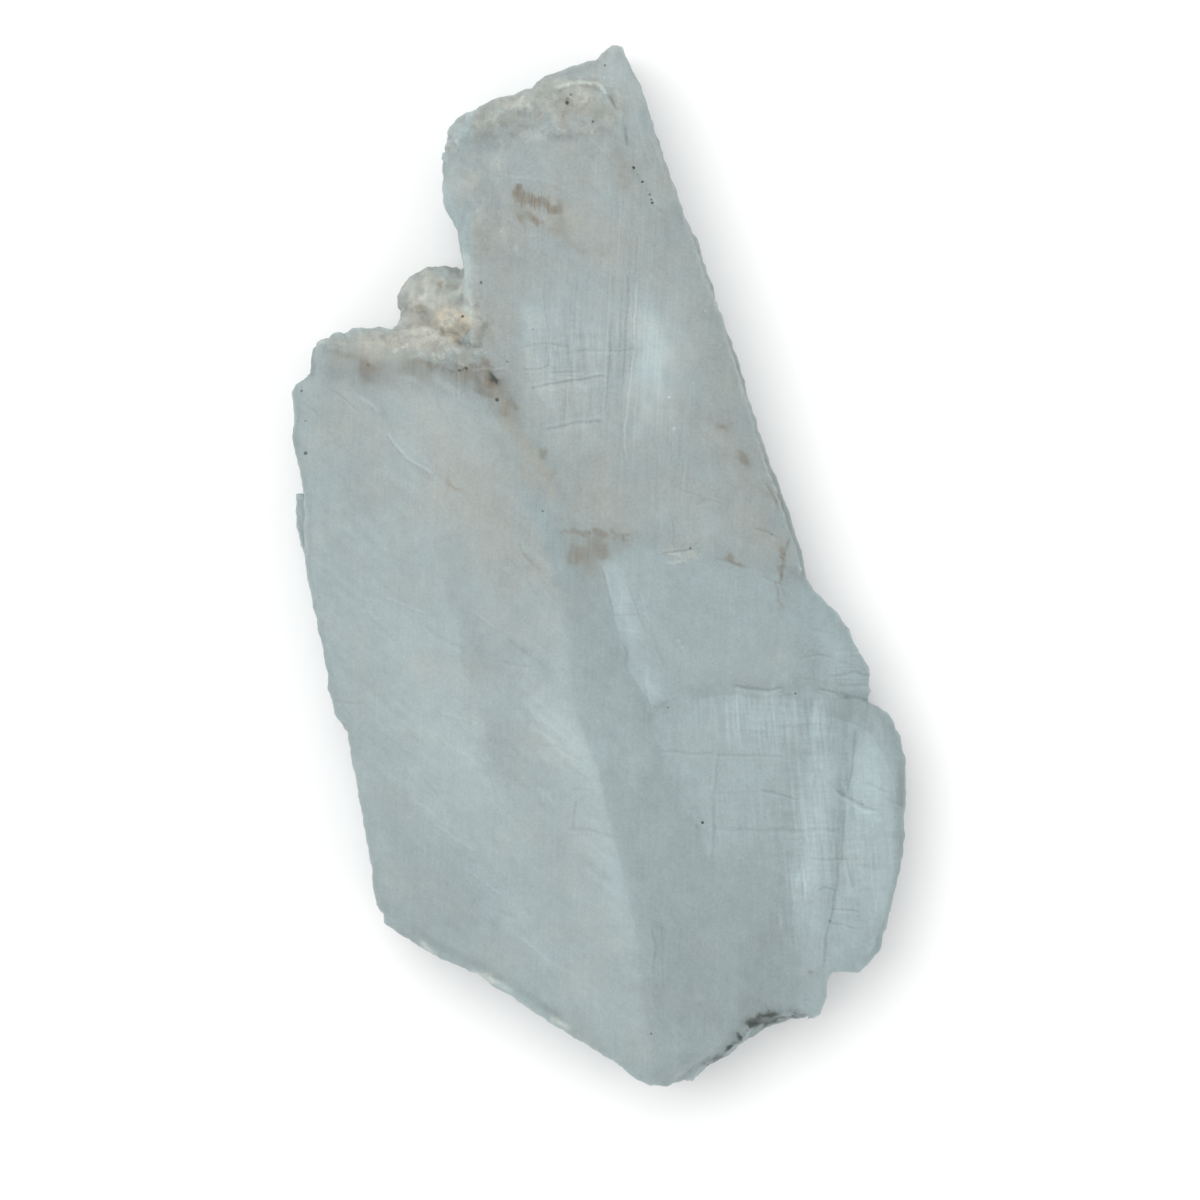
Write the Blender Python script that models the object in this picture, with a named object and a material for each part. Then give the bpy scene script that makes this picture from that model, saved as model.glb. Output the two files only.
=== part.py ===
"""Selenite slab: intergrown cleavage plates of gypsum with a sandy crust in the notch, lying on its flat back.

The slab lies in the XY plane with its long way along Y and its best face up (+Z).
Outlines and heights are in millimetres, seen from above, about the middle of the footprint.
Each plate is a loft of broken outlines, all plates are joined into one solid, and the back is cleaved flat.
"""

import math

import bmesh
import bpy
from mathutils import Matrix, Vector, noise

MM = 0.001

# Driving dimensions, in millimetres
RIDGE_HEIGHT = 19.6  # the ridge of the left leaf, the highest line of the slab
BLADE_HEIGHT = 17.4  # ridge of the upper blade
MIDDLE_HEIGHT = 17.07  # plate below the blade's cross crack
LOWER_HEIGHT = 16.15  # striated plate at the lower right
FLAKE_HEIGHT = 16.1  # crumbled flake on the right
BACK_HEIGHT = 14.9  # back plate, which shows as the side lobe and under every edge
PEAK_HEIGHT = 18.35  # plane of the peak strip, which falls away towards the peak
RIB_HEIGHT = 0.25  # growth ribs above the striated plate
SUNK = 1.5  # how far the plates reach below the back before it is cleaved flat
OUTLINE_STEP = 3.0  # most distance between the points of a broken outline

COLOUR = (0.55, 0.62, 0.62, 1.0)
ROUGHNESS = 0.35
TRANSMISSION = 0.4
GYPSUM_IOR = 1.52

# A stretch of an outline is a run of wall corners, clockwise from above. "bevel" sets the top face in from the
# wall, "drop" is how far the wall's top lies below the face, and "rough" is how far the broken edge wanders.
# A facet is a ridge line on the top face and how steeply the crystal falls away on the line's left; with a
# negative value it falls away on the right.
BACK_PLATE = {
    "height": BACK_HEIGHT,
    "slope": (-0.012, 0.0),
    "ledges": ((0.30, 0.9), (0.34, 0.3), (0.72, 0.25), (0.75, 0.6)),
    "facets": (),
    "stretches": (
        {  # straight right edge below the peak
            "wall": (
                (1.9, 75.0), (3.2, 74.4), (5.8, 68.6), (8.7, 60.0), (12.1, 50.5), (14.1, 46.4), (18.2, 34.0),
                (24.0, 15.8), (28.9, 2.2), (29.8, -2.4),
            ),
            "bevel": 0.5, "drop": 0.5, "rough": 0.10,
        },
        {  # crumbled edge under the flake
            "wall": ((31.2, -4.7), (35.4, -9.9), (38.0, -14.8), (37.8, -19.2)),
            "bevel": 0.6, "drop": 0.6, "rough": 0.30,
        },
        {  # rounded side lobe
            "wall": (
                (41.4, -21.1), (43.0, -24.5), (44.1, -28.4), (44.3, -33.0), (43.8, -38.6), (43.0, -44.0),
                (41.9, -49.6), (40.1, -55.2), (38.7, -57.0),
            ),
            "bevel": 1.0, "drop": 0.8, "rough": 0.18,
        },
        {  # square notch and the corner below it
            "wall": ((37.1, -58.3), (33.3, -58.3), (32.6, -59.9), (32.0, -62.7), (31.4, -64.6), (29.8, -65.6)),
            "bevel": 0.5, "drop": 0.6, "rough": 0.12,
        },
        {  # fractured bottom edge and the little nub beside the tip
            "wall": (
                (26.0, -66.4), (23.8, -67.4), (20.9, -69.1), (17.3, -71.0), (15.3, -72.4), (14.4, -73.9),
                (13.1, -74.3), (12.1, -73.9), (9.0, -74.8), (7.2, -74.4),
            ),
            "bevel": 0.9, "drop": 1.4, "rough": 0.22,
        },
        {  # hidden side, inside the left leaf
            "wall": ((-4.0, -62.0), (-20.0, -48.0), (-27.0, -20.0), (-31.0, 8.0), (-27.0, 27.0), (-20.4, 33.0)),
            "bevel": 0.5, "drop": 0.5, "rough": 0.0,
        },
        {  # left edge of the blade, from the notch up to the shoulder
            "wall": (
                (-19.8, 43.8), (-20.1, 47.7), (-22.1, 52.0), (-22.5, 57.4), (-21.6, 62.2), (-20.0, 64.2),
                (-15.8, 66.7), (-10.1, 68.3),
            ),
            "bevel": 0.6, "drop": 0.6, "rough": 0.20,
        },
        {  # broken top that climbs to the peak
            "wall": ((-9.1, 69.5), (-7.6, 70.2), (-3.6, 71.8), (-0.7, 72.6), (0.7, 73.8)),
            "bevel": 0.8, "drop": 1.0, "rough": 0.15,
        },
    ),
}

PEAK_STRIP = {
    "height": PEAK_HEIGHT,
    "slope": (-0.035, -0.020),
    "ledges": ((0.90, 0.3), (0.92, 0.0)),
    "facets": (),
    "stretches": (
        {  # straight right edge
            "wall": ((1.8, 74.6), (3.0, 74.2), (5.6, 68.5), (8.5, 59.9), (11.9, 50.4), (13.4, 47.2)),
            "bevel": 0.5, "drop": 0.5, "rough": 0.12,
        },
        {  # hidden side, inside the blade
            "wall": ((10.0, 46.2), (0.0, 46.6), (-9.0, 60.0)),
            "bevel": 0.4, "drop": 0.4, "rough": 0.0,
        },
        {  # broken top
            "wall": ((-8.6, 69.2), (-7.4, 69.9), (-3.4, 71.5), (-0.6, 72.3), (0.7, 73.5)),
            "bevel": 0.8, "drop": 0.9, "rough": 0.22,
        },
    ),
}

UPPER_BLADE = {
    "height": BLADE_HEIGHT,
    "slope": (0.018, 0.004),
    "ledges": ((0.62, 0.8), (0.66, 0.35), (0.82, 0.3), (0.84, 0.6)),
    "facets": (((5.5, 60.0), (2.6, 6.6), 0.07),),
    "stretches": (
        {  # rounded shoulder, crusted over
            "wall": (
                (-22.7, 56.4), (-22.0, 62.0), (-20.3, 64.3), (-17.3, 65.6), (-15.9, 66.7), (-10.1, 68.1),
                (-5.0, 69.1),
            ),
            "bevel": 1.3, "drop": 1.3, "rough": 0.34,
        },
        {  # front edge below the peak
            "wall": ((-3.6, 69.3), (-0.3, 69.0), (1.0, 67.7), (3.2, 63.6), (4.0, 59.3), (5.8, 55.2), (8.6, 50.9)),
            "bevel": 0.5, "drop": 0.4, "rough": 0.20,
        },
        {  # long right edge, almost flush with the back plate
            "wall": ((13.4, 46.9), (17.9, 34.0), (23.7, 15.8), (28.6, 2.2), (29.4, -1.4)),
            "bevel": 0.6, "drop": 0.5, "rough": 0.12,
        },
        {  # cross crack
            "wall": ((26.0, -1.4), (20.2, 0.5), (14.4, 1.8), (8.7, 3.2), (4.3, 3.7), (0.0, 4.1), (-3.3, 5.1)),
            "bevel": 0.5, "drop": 0.3, "rough": 0.30,
        },
        {  # hidden side, under the left leaf
            "wall": ((-8.5, 9.0), (-14.5, 20.0), (-17.5, 28.0), (-19.3, 33.5)),
            "bevel": 0.5, "drop": 0.5, "rough": 0.0,
        },
        {  # free left edge above the notch
            "wall": ((-19.9, 38.0), (-19.9, 43.8), (-20.3, 47.7), (-22.3, 52.0)),
            "bevel": 0.6, "drop": 0.6, "rough": 0.20,
        },
    ),
}

MIDDLE_PLATE = {
    "height": MIDDLE_HEIGHT,
    "slope": (-0.045, 0.030),
    "ledges": ((0.86, 0.4),),
    "facets": (),
    "stretches": (
        {  # hidden side, under the blade
            "wall": ((-5.0, 9.0), (10.0, 8.0), (24.0, 4.0)),
            "bevel": 0.4, "drop": 0.4, "rough": 0.0,
        },
        {  # broken right side, which crumbles down to the flake
            "wall": ((28.8, -1.0), (29.4, -4.6), (29.8, -8.6), (29.0, -12.6), (30.4, -15.6)),
            "bevel": 1.2, "drop": 0.4, "rough": 0.34,
        },
        {  # lower crack
            "wall": ((32.4, -17.0), (32.0, -18.4), (26.0, -17.9), (19.5, -17.5), (8.7, -19.2)),
            "bevel": 0.5, "drop": 0.25, "rough": 0.18,
        },
        {  # hidden side, under the left leaf
            "wall": ((0.5, -18.0), (-2.0, -8.0), (-5.0, 2.0)),
            "bevel": 0.4, "drop": 0.4, "rough": 0.0,
        },
    ),
}

LOWER_PLATE = {
    "height": LOWER_HEIGHT,
    "slope": (-0.035, 0.002),
    "ledges": ((0.86, 0.5),),
    "facets": (),
    "stretches": (
        {  # hidden side, under the middle plate
            "wall": ((4.0, -14.0), (18.0, -13.0), (32.0, -15.0)),
            "bevel": 0.4, "drop": 0.4, "rough": 0.0,
        },
        {  # right edge, a step above the side lobe
            "wall": (
                (36.0, -19.6), (36.4, -23.7), (35.2, -33.9), (34.5, -42.5), (33.2, -51.2), (32.1, -59.0),
                (31.4, -62.7), (30.6, -64.4),
            ),
            "bevel": 0.5, "drop": 0.25, "rough": 0.14,
        },
        {  # lip over the fracture
            "wall": ((26.4, -64.3), (21.9, -64.6), (19.8, -67.4), (14.0, -71.4)),
            "bevel": 0.6, "drop": 0.9, "rough": 0.28,
        },
        {  # hidden side, under the left leaf
            "wall": ((6.0, -68.0), (3.0, -50.0), (1.0, -30.0)),
            "bevel": 0.4, "drop": 0.4, "rough": 0.0,
        },
    ),
}

LEFT_LEAF = {
    "height": RIDGE_HEIGHT,
    "slope": (0.052, 0.010),
    "ledges": ((0.24, 0.9), (0.27, 0.2), (0.55, 0.25), (0.58, 0.7), (0.80, 0.5), (0.82, 0.1)),
    "facets": (
        ((-20.6, 30.0), (-6.4, -2.6), 0.31),
        ((-6.4, -2.6), (3.9, -45.4), 0.37),
        ((3.9, -45.4), (7.9, -73.6), 0.32),
        ((7.9, -72.0), (40.0, -50.0), -1.20),
    ),
    "stretches": (
        {  # crusted top edge
            "wall": ((-40.2, 32.4), (-38.3, 33.0), (-35.4, 33.6), (-31.0, 34.0), (-28.6, 33.4), (-24.0, 33.6)),
            "bevel": 1.6, "drop": 1.5, "rough": 0.40,
        },
        {  # seam against the right-hand plates
            "wall": (
                (-19.4, 32.4), (-14.4, 24.6), (-7.9, 14.5), (-2.6, 5.0), (0.6, -0.6), (3.2, -10.8), (5.9, -19.4),
                (10.4, -30.2), (16.2, -42.5), (19.6, -52.6), (19.8, -64.9), (17.6, -69.2), (12.8, -72.6),
            ),
            "bevel": 0.3, "drop": 0.3, "rough": 0.10,
        },
        {  # tip
            "wall": ((9.0, -75.0), (7.2, -74.5)),
            "bevel": 1.3, "drop": 1.8, "rough": 0.10,
        },
        {  # chipped lower left edge
            "wall": (
                (5.1, -73.2), (0.0, -69.7), (-5.8, -66.2), (-11.5, -62.6), (-17.3, -58.7), (-23.1, -56.1),
                (-28.9, -52.6), (-30.9, -51.2),
            ),
            "bevel": 1.0, "drop": 1.0, "rough": 0.20,
        },
        {  # left edge, stepped
            "wall": (
                (-30.9, -50.0), (-32.1, -48.6), (-32.6, -44.0), (-33.2, -40.4), (-34.4, -33.9), (-35.4, -28.1),
                (-36.1, -23.9), (-38.0, -21.2), (-38.9, -18.0), (-39.0, -15.1), (-39.7, -11.5), (-41.0, -5.7),
                (-41.9, -2.1), (-42.2, 0.8), (-42.5, 6.0), (-42.4, 11.6), (-43.3, 15.4), (-44.0, 19.6),
                (-44.2, 23.9), (-43.5, 25.8), (-41.4, 27.5), (-41.2, 31.0),
            ),
            "bevel": 0.8, "drop": 0.8, "rough": 0.18,
        },
    ),
}

LEFT_SLIVER = {
    "height": 11.2,
    "base": 7.6,
    "foot": 0.0,
    "slope": (0.02, 0.0),
    "ledges": (),
    "facets": (),
    "stretches": (
        {
            "wall": (
                (-43.8, 10.3), (-36.0, 10.3), (-36.0, -2.2), (-41.6, -1.4), (-42.6, 1.2), (-43.4, 4.0), (-44.2, 8.0),
            ),
            "bevel": 0.3, "drop": 0.5, "rough": 0.04,
        },
    ),
}

CRUMBLED_FLAKE = {
    "height": FLAKE_HEIGHT,
    "slope": (-0.035, 0.0),
    "ledges": ((0.90, 0.5),),
    "facets": (),
    "stretches": (
        {
            "wall": (
                (29.6, -2.0), (31.8, -4.6), (33.8, -6.6), (36.1, -9.8), (37.2, -12.4), (38.8, -14.8),
                (38.4, -16.7), (39.0, -18.0), (38.4, -19.4), (32.0, -19.2), (25.0, -17.0), (24.0, -4.0),
            ),
            "bevel": 1.0, "drop": 0.9, "rough": 0.36,
        },
    ),
}

# Growth ribs of the striated plate: outlines clockwise from above, all drawn out along its right edge
RIBS = (
    ((35.0, -20.6), (34.1, -33.9), (33.2, -42.5), (31.9, -52.4), (31.4, -56.8), (30.2, -49.0), (31.9, -38.0)),
    ((32.3, -19.8), (31.9, -33.9), (30.6, -44.6), (29.5, -52.0), (29.0, -44.0), (30.6, -33.0), (31.2, -24.0)),
    ((29.9, -15.8), (29.2, -32.0), (28.0, -41.0), (26.0, -57.6), (25.2, -56.0), (26.6, -38.0), (28.3, -15.8)),
    ((25.7, -15.6), (25.2, -31.2), (24.0, -42.7), (17.2, -42.0), (16.8, -36.8), (17.1, -26.2), (17.5, -15.6)),
)

# Rounded lumps of sandy crust: centre, radii and how uneven each is
KNOB = (
    ((-24.0, 37.4, 9.4), (5.0, 5.8, 5.6), 0.75),
    ((-21.8, 35.6, 12.6), (3.6, 4.2, 3.8), 0.60),
    ((-26.6, 33.4, 12.4), (3.4, 2.6, 3.6), 0.50),
    ((-27.2, 38.2, 9.0), (2.2, 2.6, 3.0), 0.40),
    ((-22.2, 41.0, 9.6), (2.8, 2.4, 3.2), 0.40),
)
# Crusted edges: a line of the edge, its height, how many lumps sit on it and how large they are
CRUSTS = (
    (((-39.4, 31.4), (-30.5, 32.2), (-21.5, 31.6)), 17.1, 12, 1.5),
    (((-21.0, 58.0), (-18.4, 63.2), (-10.0, 66.0), (-2.5, 67.0)), 17.0, 12, 1.3),
)

# Shell-shaped bites out of the broken edges: centre, radii and turn about Z in degrees
BITES = (
    ((25.4, -69.2, 10.8), (8.4, 4.8, 6.4), 28.0),
    ((16.6, -74.6, 13.4), (5.4, 3.2, 4.4), 35.0),
    ((-33.4, -52.0, 6.0), (3.8, 3.4, 4.6), -30.0),
    ((-39.0, -25.0, 4.4), (3.4, 4.6, 3.6), 10.0),
    ((-45.0, 28.6, 6.2), (4.0, 3.8, 4.6), 40.0),
    ((-7.0, -69.4, 3.2), (8.0, 4.0, 3.6), -32.0),
    ((46.0, -46.0, 3.6), (4.2, 8.0, 3.8), -8.0),
    ((36.6, -60.4, 4.6), (5.2, 4.0, 4.6), 5.0),
    ((24.0, 26.0, 3.2), (4.0, 10.0, 3.6), 18.0),
    ((-24.8, 60.0, 4.2), (4.2, 6.0, 4.2), -12.0),
    ((-6.0, 74.2, 4.6), (7.0, 4.2, 4.6), 20.0),
    ((-33.0, 36.0, 5.4), (6.6, 4.0, 4.8), 0.0),
    ((14.2, 52.4, 8.6), (2.6, 5.0, 2.4), 18.0),
    ((-16.0, -62.6, 9.0), (6.0, 2.6, 3.2), -32.0),
)

# Shallow cleavage steps on the back: a corner of the step, its turn about Z in degrees, and its depth
BACK_STEPS = (
    ((-26.0, 0.0), 12.0, 0.8),
    ((27.0, -10.0), 192.0, 1.1),
)


def evenly(corners, step):
    """Points along a closed run of (corner, label) pairs, at most a step apart, each with its label."""
    points = []
    for (start, label), (end, _) in zip(corners, corners[1:] + corners[:1]):
        pieces = max(1, math.ceil((end - start).length / step))
        points += [(start.lerp(end, i / pieces), label) for i in range(pieces)]
    return points


def inward(points):
    """The direction into the plate at each point of a clockwise outline."""
    directions = []
    for i in range(len(points)):
        along = points[(i + 1) % len(points)] - points[i - 1]
        directions.append(Vector((along.y, -along.x)).normalized())
    return directions


def wander(place, level, seed):
    """A smooth value from about -1 to 1 that differs from place to place and from level to level."""
    spot = Vector((place.x, place.y, level)) * 0.37 + Vector((seed * 7.3, seed * 3.1, seed * 5.9))
    return noise.noise(spot) + 0.6 * noise.noise(spot * 2.7)


def top_of(plate, place):
    return plate["height"] + Vector(plate["slope"]).dot(place)


def plate_rings(plate, seed):
    """The rings of a plate from its base up to the rim of its top face, as lists of points."""
    base = plate.get("base", -SUNK - 0.13 * seed)
    corners = [(Vector(corner), stretch) for stretch in plate["stretches"] for corner in stretch["wall"]]
    points = evenly(corners, OUTLINE_STEP)
    insides = inward([place for place, _ in points])

    def ring(share, inset, level):
        made = []
        for (wall, stretch), inside in zip(points, insides):
            rough = stretch["rough"]
            shoulder = top_of(plate, wall) - stretch["drop"]
            back = inset * (1.0 + 0.5 * wander(wall, level * 4.0, seed + 9)) if rough else 0.0
            place = wall + inside * (back - rough * wander(wall, level * 11.0, seed))
            made.append((place.x, place.y, base + (shoulder - base) * share))
        return made

    rings = [ring(0.0, plate.get("foot", 0.8), 0)]
    rings += [ring(share, inset, level + 1) for level, (share, inset) in enumerate(plate["ledges"])]
    rings.append(ring(1.0, 0.0, 20))
    rim = []
    for (wall, stretch), inside in zip(points, insides):
        place = wall + inside * (stretch["bevel"] + stretch["rough"] * 0.8 * wander(wall, 77.0, seed))
        rim.append((place.x, place.y, top_of(plate, place)))
    rings.append(rim)
    return rings


def finished(name, mesh):
    """An object made of a bmesh, which is freed."""
    data = bpy.data.meshes.new(name)
    mesh.to_mesh(data)
    mesh.free()
    return bpy.data.objects.new(name, data)


def loft(name, rings):
    """A closed object through rings of equal count, capped at both ends."""
    mesh = bmesh.new()
    rows = [[mesh.verts.new(Vector(place) * MM) for place in ring] for ring in rings]
    count = len(rows[0])
    for below, above in zip(rows, rows[1:]):
        for i in range(count):
            j = (i + 1) % count
            mesh.faces.new((below[i], above[i], above[j], below[j]))
    mesh.faces.new(rows[0])
    mesh.faces.new(reversed(rows[-1]))
    bmesh.ops.recalc_face_normals(mesh, faces=mesh.faces)
    return finished(name, mesh)


def cleave(made, point, direction):
    """Cuts away what lies beyond the plane through a point, and closes the cut flat."""
    mesh = bmesh.new()
    mesh.from_mesh(made.data)
    cut = bmesh.ops.bisect_plane(
        mesh,
        geom=mesh.verts[:] + mesh.edges[:] + mesh.faces[:],
        plane_co=Vector(point) * MM,
        plane_no=Vector(direction),
        clear_outer=True,
    )
    edges = [part for part in cut["geom_cut"] if isinstance(part, bmesh.types.BMEdge)]
    bmesh.ops.holes_fill(mesh, edges=edges)
    bmesh.ops.recalc_face_normals(mesh, faces=mesh.faces)
    mesh.to_mesh(made.data)
    mesh.free()


def crystal_plate(name, plate, seed):
    """One plate with its facets, each falling away on the left of its ridge line."""
    made = loft(name, plate_rings(plate, seed))
    for start, end, fall in plate["facets"]:
        start = Vector(start)
        along = (Vector(end) - start).normalized()
        gradient = Vector(plate["slope"]) - fall * Vector((-along.y, along.x))
        cleave(made, (*start, top_of(plate, start)), (-gradient.x, -gradient.y, 1.0))
    return made


def rib(name, outline, seed):
    """A low rib on the striated plate."""
    plate = {
        "height": LOWER_HEIGHT + RIB_HEIGHT,
        "slope": LOWER_PLATE["slope"],
        "base": LOWER_HEIGHT - 3.0,
        "foot": 0.0,
        "ledges": (),
        "facets": (),
        "stretches": ({"wall": outline, "bevel": 0.2, "drop": 0.18, "rough": 0.08},),
    }
    return crystal_plate(name, plate, seed)


def lump(name, centre, radii, uneven, turn=0.0, fineness=3):
    """An uneven rounded stone."""
    mesh = bmesh.new()
    bmesh.ops.create_icosphere(mesh, subdivisions=fineness, radius=1.0)
    shape = Matrix.LocRotScale(Vector(centre), Matrix.Rotation(math.radians(turn), 3, "Z").to_quaternion(), radii)
    for vert in mesh.verts:
        direction = vert.co.normalized()
        place = shape @ direction
        swell = noise.noise(place * 0.45) + 0.5 * noise.noise(place * 1.1)
        vert.co = (place + direction * uneven * swell) * MM
    return finished(name, mesh)


def crusted_edge(name, line, height, count, size):
    """Small lumps of crust along a line, uneven in place and in size."""
    line = [Vector(corner) for corner in line]
    lumps = []
    for i in range(count):
        place = (i + 0.5) / count * (len(line) - 1)
        leg = min(int(place), len(line) - 2)
        spot = line[leg].lerp(line[leg + 1], place - leg)
        shift = noise.noise_vector(Vector((spot.x, spot.y, height)) * 0.9)
        radius = size * (1.0 + 0.5 * shift.z)
        centre = (spot.x + 1.4 * shift.x, spot.y + 1.4 * shift.y, height + 0.8 * shift.z)
        radii = (radius * 1.4, radius * 1.1, radius * 0.6)
        lumps.append(lump(f"{name}_{i}", centre, radii, 0.35, 70.0 * shift.x, 2))
    return lumps


def back_step(name, corner, turn, depth):
    """A thin box that takes a shallow step off the back face."""
    mesh = bmesh.new()
    bmesh.ops.create_cube(mesh, size=1.0)
    size = Matrix.Diagonal((60.0, 190.0, 8.0))
    aside = Vector((-30.0, 0.0, depth - 4.0))
    turned = Matrix.Rotation(math.radians(turn), 3, "Z")
    for vert in mesh.verts:
        vert.co = (turned @ (size @ vert.co + aside) + Vector((*corner, 0.0))) * MM
    return finished(name, mesh)


def joined(name, bodies, cutters):
    """One solid: the first body with the others joined on and the cutters taken out."""
    main = bodies[0]
    for operation, tools in (("UNION", bodies[1:]), ("DIFFERENCE", cutters)):
        for tool in tools:
            modifier = main.modifiers.new(tool.name, "BOOLEAN")
            modifier.operation = operation
            modifier.solver = "MANIFOLD"  # so many nearly parallel faces leave EXACT with open edges
            modifier.object = tool
    graph = bpy.context.evaluated_depsgraph_get()
    solid = bpy.data.objects.new(name, bpy.data.meshes.new_from_object(main.evaluated_get(graph)))
    for used in bodies + cutters:
        bpy.data.objects.remove(used)
    return solid


def drop_pockets(made):
    """Keeps the outer surface and removes any sealed pocket that was left between the lumps."""
    mesh = bmesh.new()
    mesh.from_mesh(made.data)
    waiting = set(mesh.verts)
    shells = []
    while waiting:
        edge_of_shell = [waiting.pop()]
        shell = list(edge_of_shell)
        while edge_of_shell:
            vert = edge_of_shell.pop()
            found = {edge.other_vert(vert) for edge in vert.link_edges} & waiting
            waiting -= found
            shell += found
            edge_of_shell += found
        shells.append(shell)
    outer = max(shells, key=len)
    inner = [vert for shell in shells if shell is not outer for vert in shell]
    bmesh.ops.delete(mesh, geom=inner, context="VERTS")
    mesh.to_mesh(made.data)
    mesh.free()


def centre_on_footprint(made):
    """Moves the mesh so that the middle of its box stands over the origin and its back lies at zero height."""
    corners = [vert.co for vert in made.data.vertices]
    low = Vector([min(corner[axis] for corner in corners) for axis in range(3)])
    high = Vector([max(corner[axis] for corner in corners) for axis in range(3)])
    made.data.transform(Matrix.Translation(Vector((-(low.x + high.x) / 2, -(low.y + high.y) / 2, -low.z))))


def selenite():
    material = bpy.data.materials.new("selenite")
    material.use_nodes = True
    shader = material.node_tree.nodes["Principled BSDF"]
    shader.inputs["Base Color"].default_value = COLOUR
    shader.inputs["Roughness"].default_value = ROUGHNESS
    shader.inputs["Transmission Weight"].default_value = TRANSMISSION
    shader.inputs["IOR"].default_value = GYPSUM_IOR
    return material


def build():
    for old in list(bpy.data.objects):
        bpy.data.objects.remove(old)
    collection = bpy.data.collections.new("selenite_slab")
    bpy.context.scene.collection.children.link(collection)

    plates = (
        BACK_PLATE, PEAK_STRIP, UPPER_BLADE, MIDDLE_PLATE, LOWER_PLATE, LEFT_LEAF, LEFT_SLIVER, CRUMBLED_FLAKE,
    )
    bodies = [crystal_plate(f"plate_{seed}", plate, seed) for seed, plate in enumerate(plates)]
    bodies += [rib(f"rib_{i}", outline, 20 + i) for i, outline in enumerate(RIBS)]
    bodies += [lump(f"knob_{i}", *stone) for i, stone in enumerate(KNOB)]
    for i, crust in enumerate(CRUSTS):
        bodies += crusted_edge(f"crust_{i}", *crust)
    cutters = [lump(f"bite_{i}", centre, radii, 0.5, turn, 2) for i, (centre, radii, turn) in enumerate(BITES)]
    cutters += [back_step(f"back_step_{i}", *step) for i, step in enumerate(BACK_STEPS)]
    for part in bodies + cutters:
        collection.objects.link(part)

    slab = joined("selenite_slab", bodies, cutters)
    collection.objects.link(slab)
    cleave(slab, (0.0, 0.0, 0.0), (0.0, 0.0, -1.0))
    drop_pockets(slab)
    centre_on_footprint(slab)
    slab.data.materials.clear()
    slab.data.materials.append(selenite())


build()
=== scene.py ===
import math

import bmesh
import bpy
import numpy as np
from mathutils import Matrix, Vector, kdtree, noise


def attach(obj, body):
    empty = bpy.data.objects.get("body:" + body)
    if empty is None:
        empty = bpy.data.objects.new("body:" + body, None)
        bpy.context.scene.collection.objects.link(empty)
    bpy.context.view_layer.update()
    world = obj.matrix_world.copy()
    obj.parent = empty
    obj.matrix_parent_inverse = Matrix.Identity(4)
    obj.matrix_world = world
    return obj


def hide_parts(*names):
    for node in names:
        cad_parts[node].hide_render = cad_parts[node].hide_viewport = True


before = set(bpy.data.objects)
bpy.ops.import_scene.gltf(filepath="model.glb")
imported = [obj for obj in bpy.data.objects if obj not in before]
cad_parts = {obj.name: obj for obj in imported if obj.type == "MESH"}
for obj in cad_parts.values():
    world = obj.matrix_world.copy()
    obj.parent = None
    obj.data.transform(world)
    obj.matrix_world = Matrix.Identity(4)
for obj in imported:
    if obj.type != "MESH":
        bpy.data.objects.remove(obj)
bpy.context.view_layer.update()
mm = 0.001


class Wire:
    # one output socket in a node tree, so that node maths is written as sums

    def __init__(self, tree, socket=None):
        self.tree = tree
        self.socket = socket

    def node(self, kind, settings=None, inputs=None, out=0):
        # a new node: its type, its settings, values or wires for its sockets, and which output to give
        made = self.tree.nodes.new(kind)
        for name, value in (settings or {}).items():
            setattr(made, name, value)
        for name, value in (inputs or {}).items():
            if isinstance(value, Wire):
                self.tree.links.new(value.socket, made.inputs[name])
            else:
                made.inputs[name].default_value = value
        return Wire(self.tree, made.outputs[out])

    def maths(self, operation, *values):
        return self.node("ShaderNodeMath", {"operation": operation}, dict(enumerate(values)))

    def scaled(self, factor):
        return self.node("ShaderNodeVectorMath", {"operation": "SCALE"}, {"Vector": self, "Scale": factor})

    def part(self, axis):
        return self.node("ShaderNodeSeparateXYZ", {}, {0: self}, axis)

    def between(self, low, high):
        # 0 at low, 1 at high, smooth on the way
        return self.node(
            "ShaderNodeMapRange", {"interpolation_type": "SMOOTHSTEP"},
            {"Value": self, "From Min": low, "From Max": high},
        )

    def __add__(self, other):
        return self.maths("ADD", self, other)

    def __sub__(self, other):
        return self.maths("SUBTRACT", self, other)

    def __rsub__(self, other):
        return self.maths("SUBTRACT", other, self)

    def __mul__(self, other):
        return self.maths("MULTIPLY", self, other)

    def __rtruediv__(self, other):
        return self.maths("DIVIDE", other, self)

    def __abs__(self):
        return self.maths("ABSOLUTE", self)

    __radd__ = __add__
    __rmul__ = __mul__


def noiseOf(place, size, detail=2.0, rough=0.5, shift=0.0):
    # smooth noise from 0 to 1 whose bumps are about size wide; size is three numbers in place's units
    moved = place.node(
        "ShaderNodeVectorMath", {"operation": "MULTIPLY_ADD"},
        {0: place, 1: tuple(1.0 / s for s in size), 2: (shift, 1.7 * shift, -shift)},
    )
    return place.node(
        "ShaderNodeTexNoise", {},
        {"Vector": moved, "Scale": 1.0, "Detail": detail, "Roughness": rough},
    )


def mixed(share, low, high):
    # colours: low where share is 0, high where it is 1
    return share.node("ShaderNodeMix", {"data_type": "RGBA"}, {0: share, 6: low, 7: high}, 2)


# ---- camera, floor and lights

shot = {
    "middle": (0.0, -0.0050, 0.009),    # what the camera looks straight down on
    "distance": 0.90,
    "across": 0.1732,                   # width of the picture at the middle
    "sensor": 36.0,
    "nearest": 0.05,
    "farthest": 20.0,
}


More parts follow.
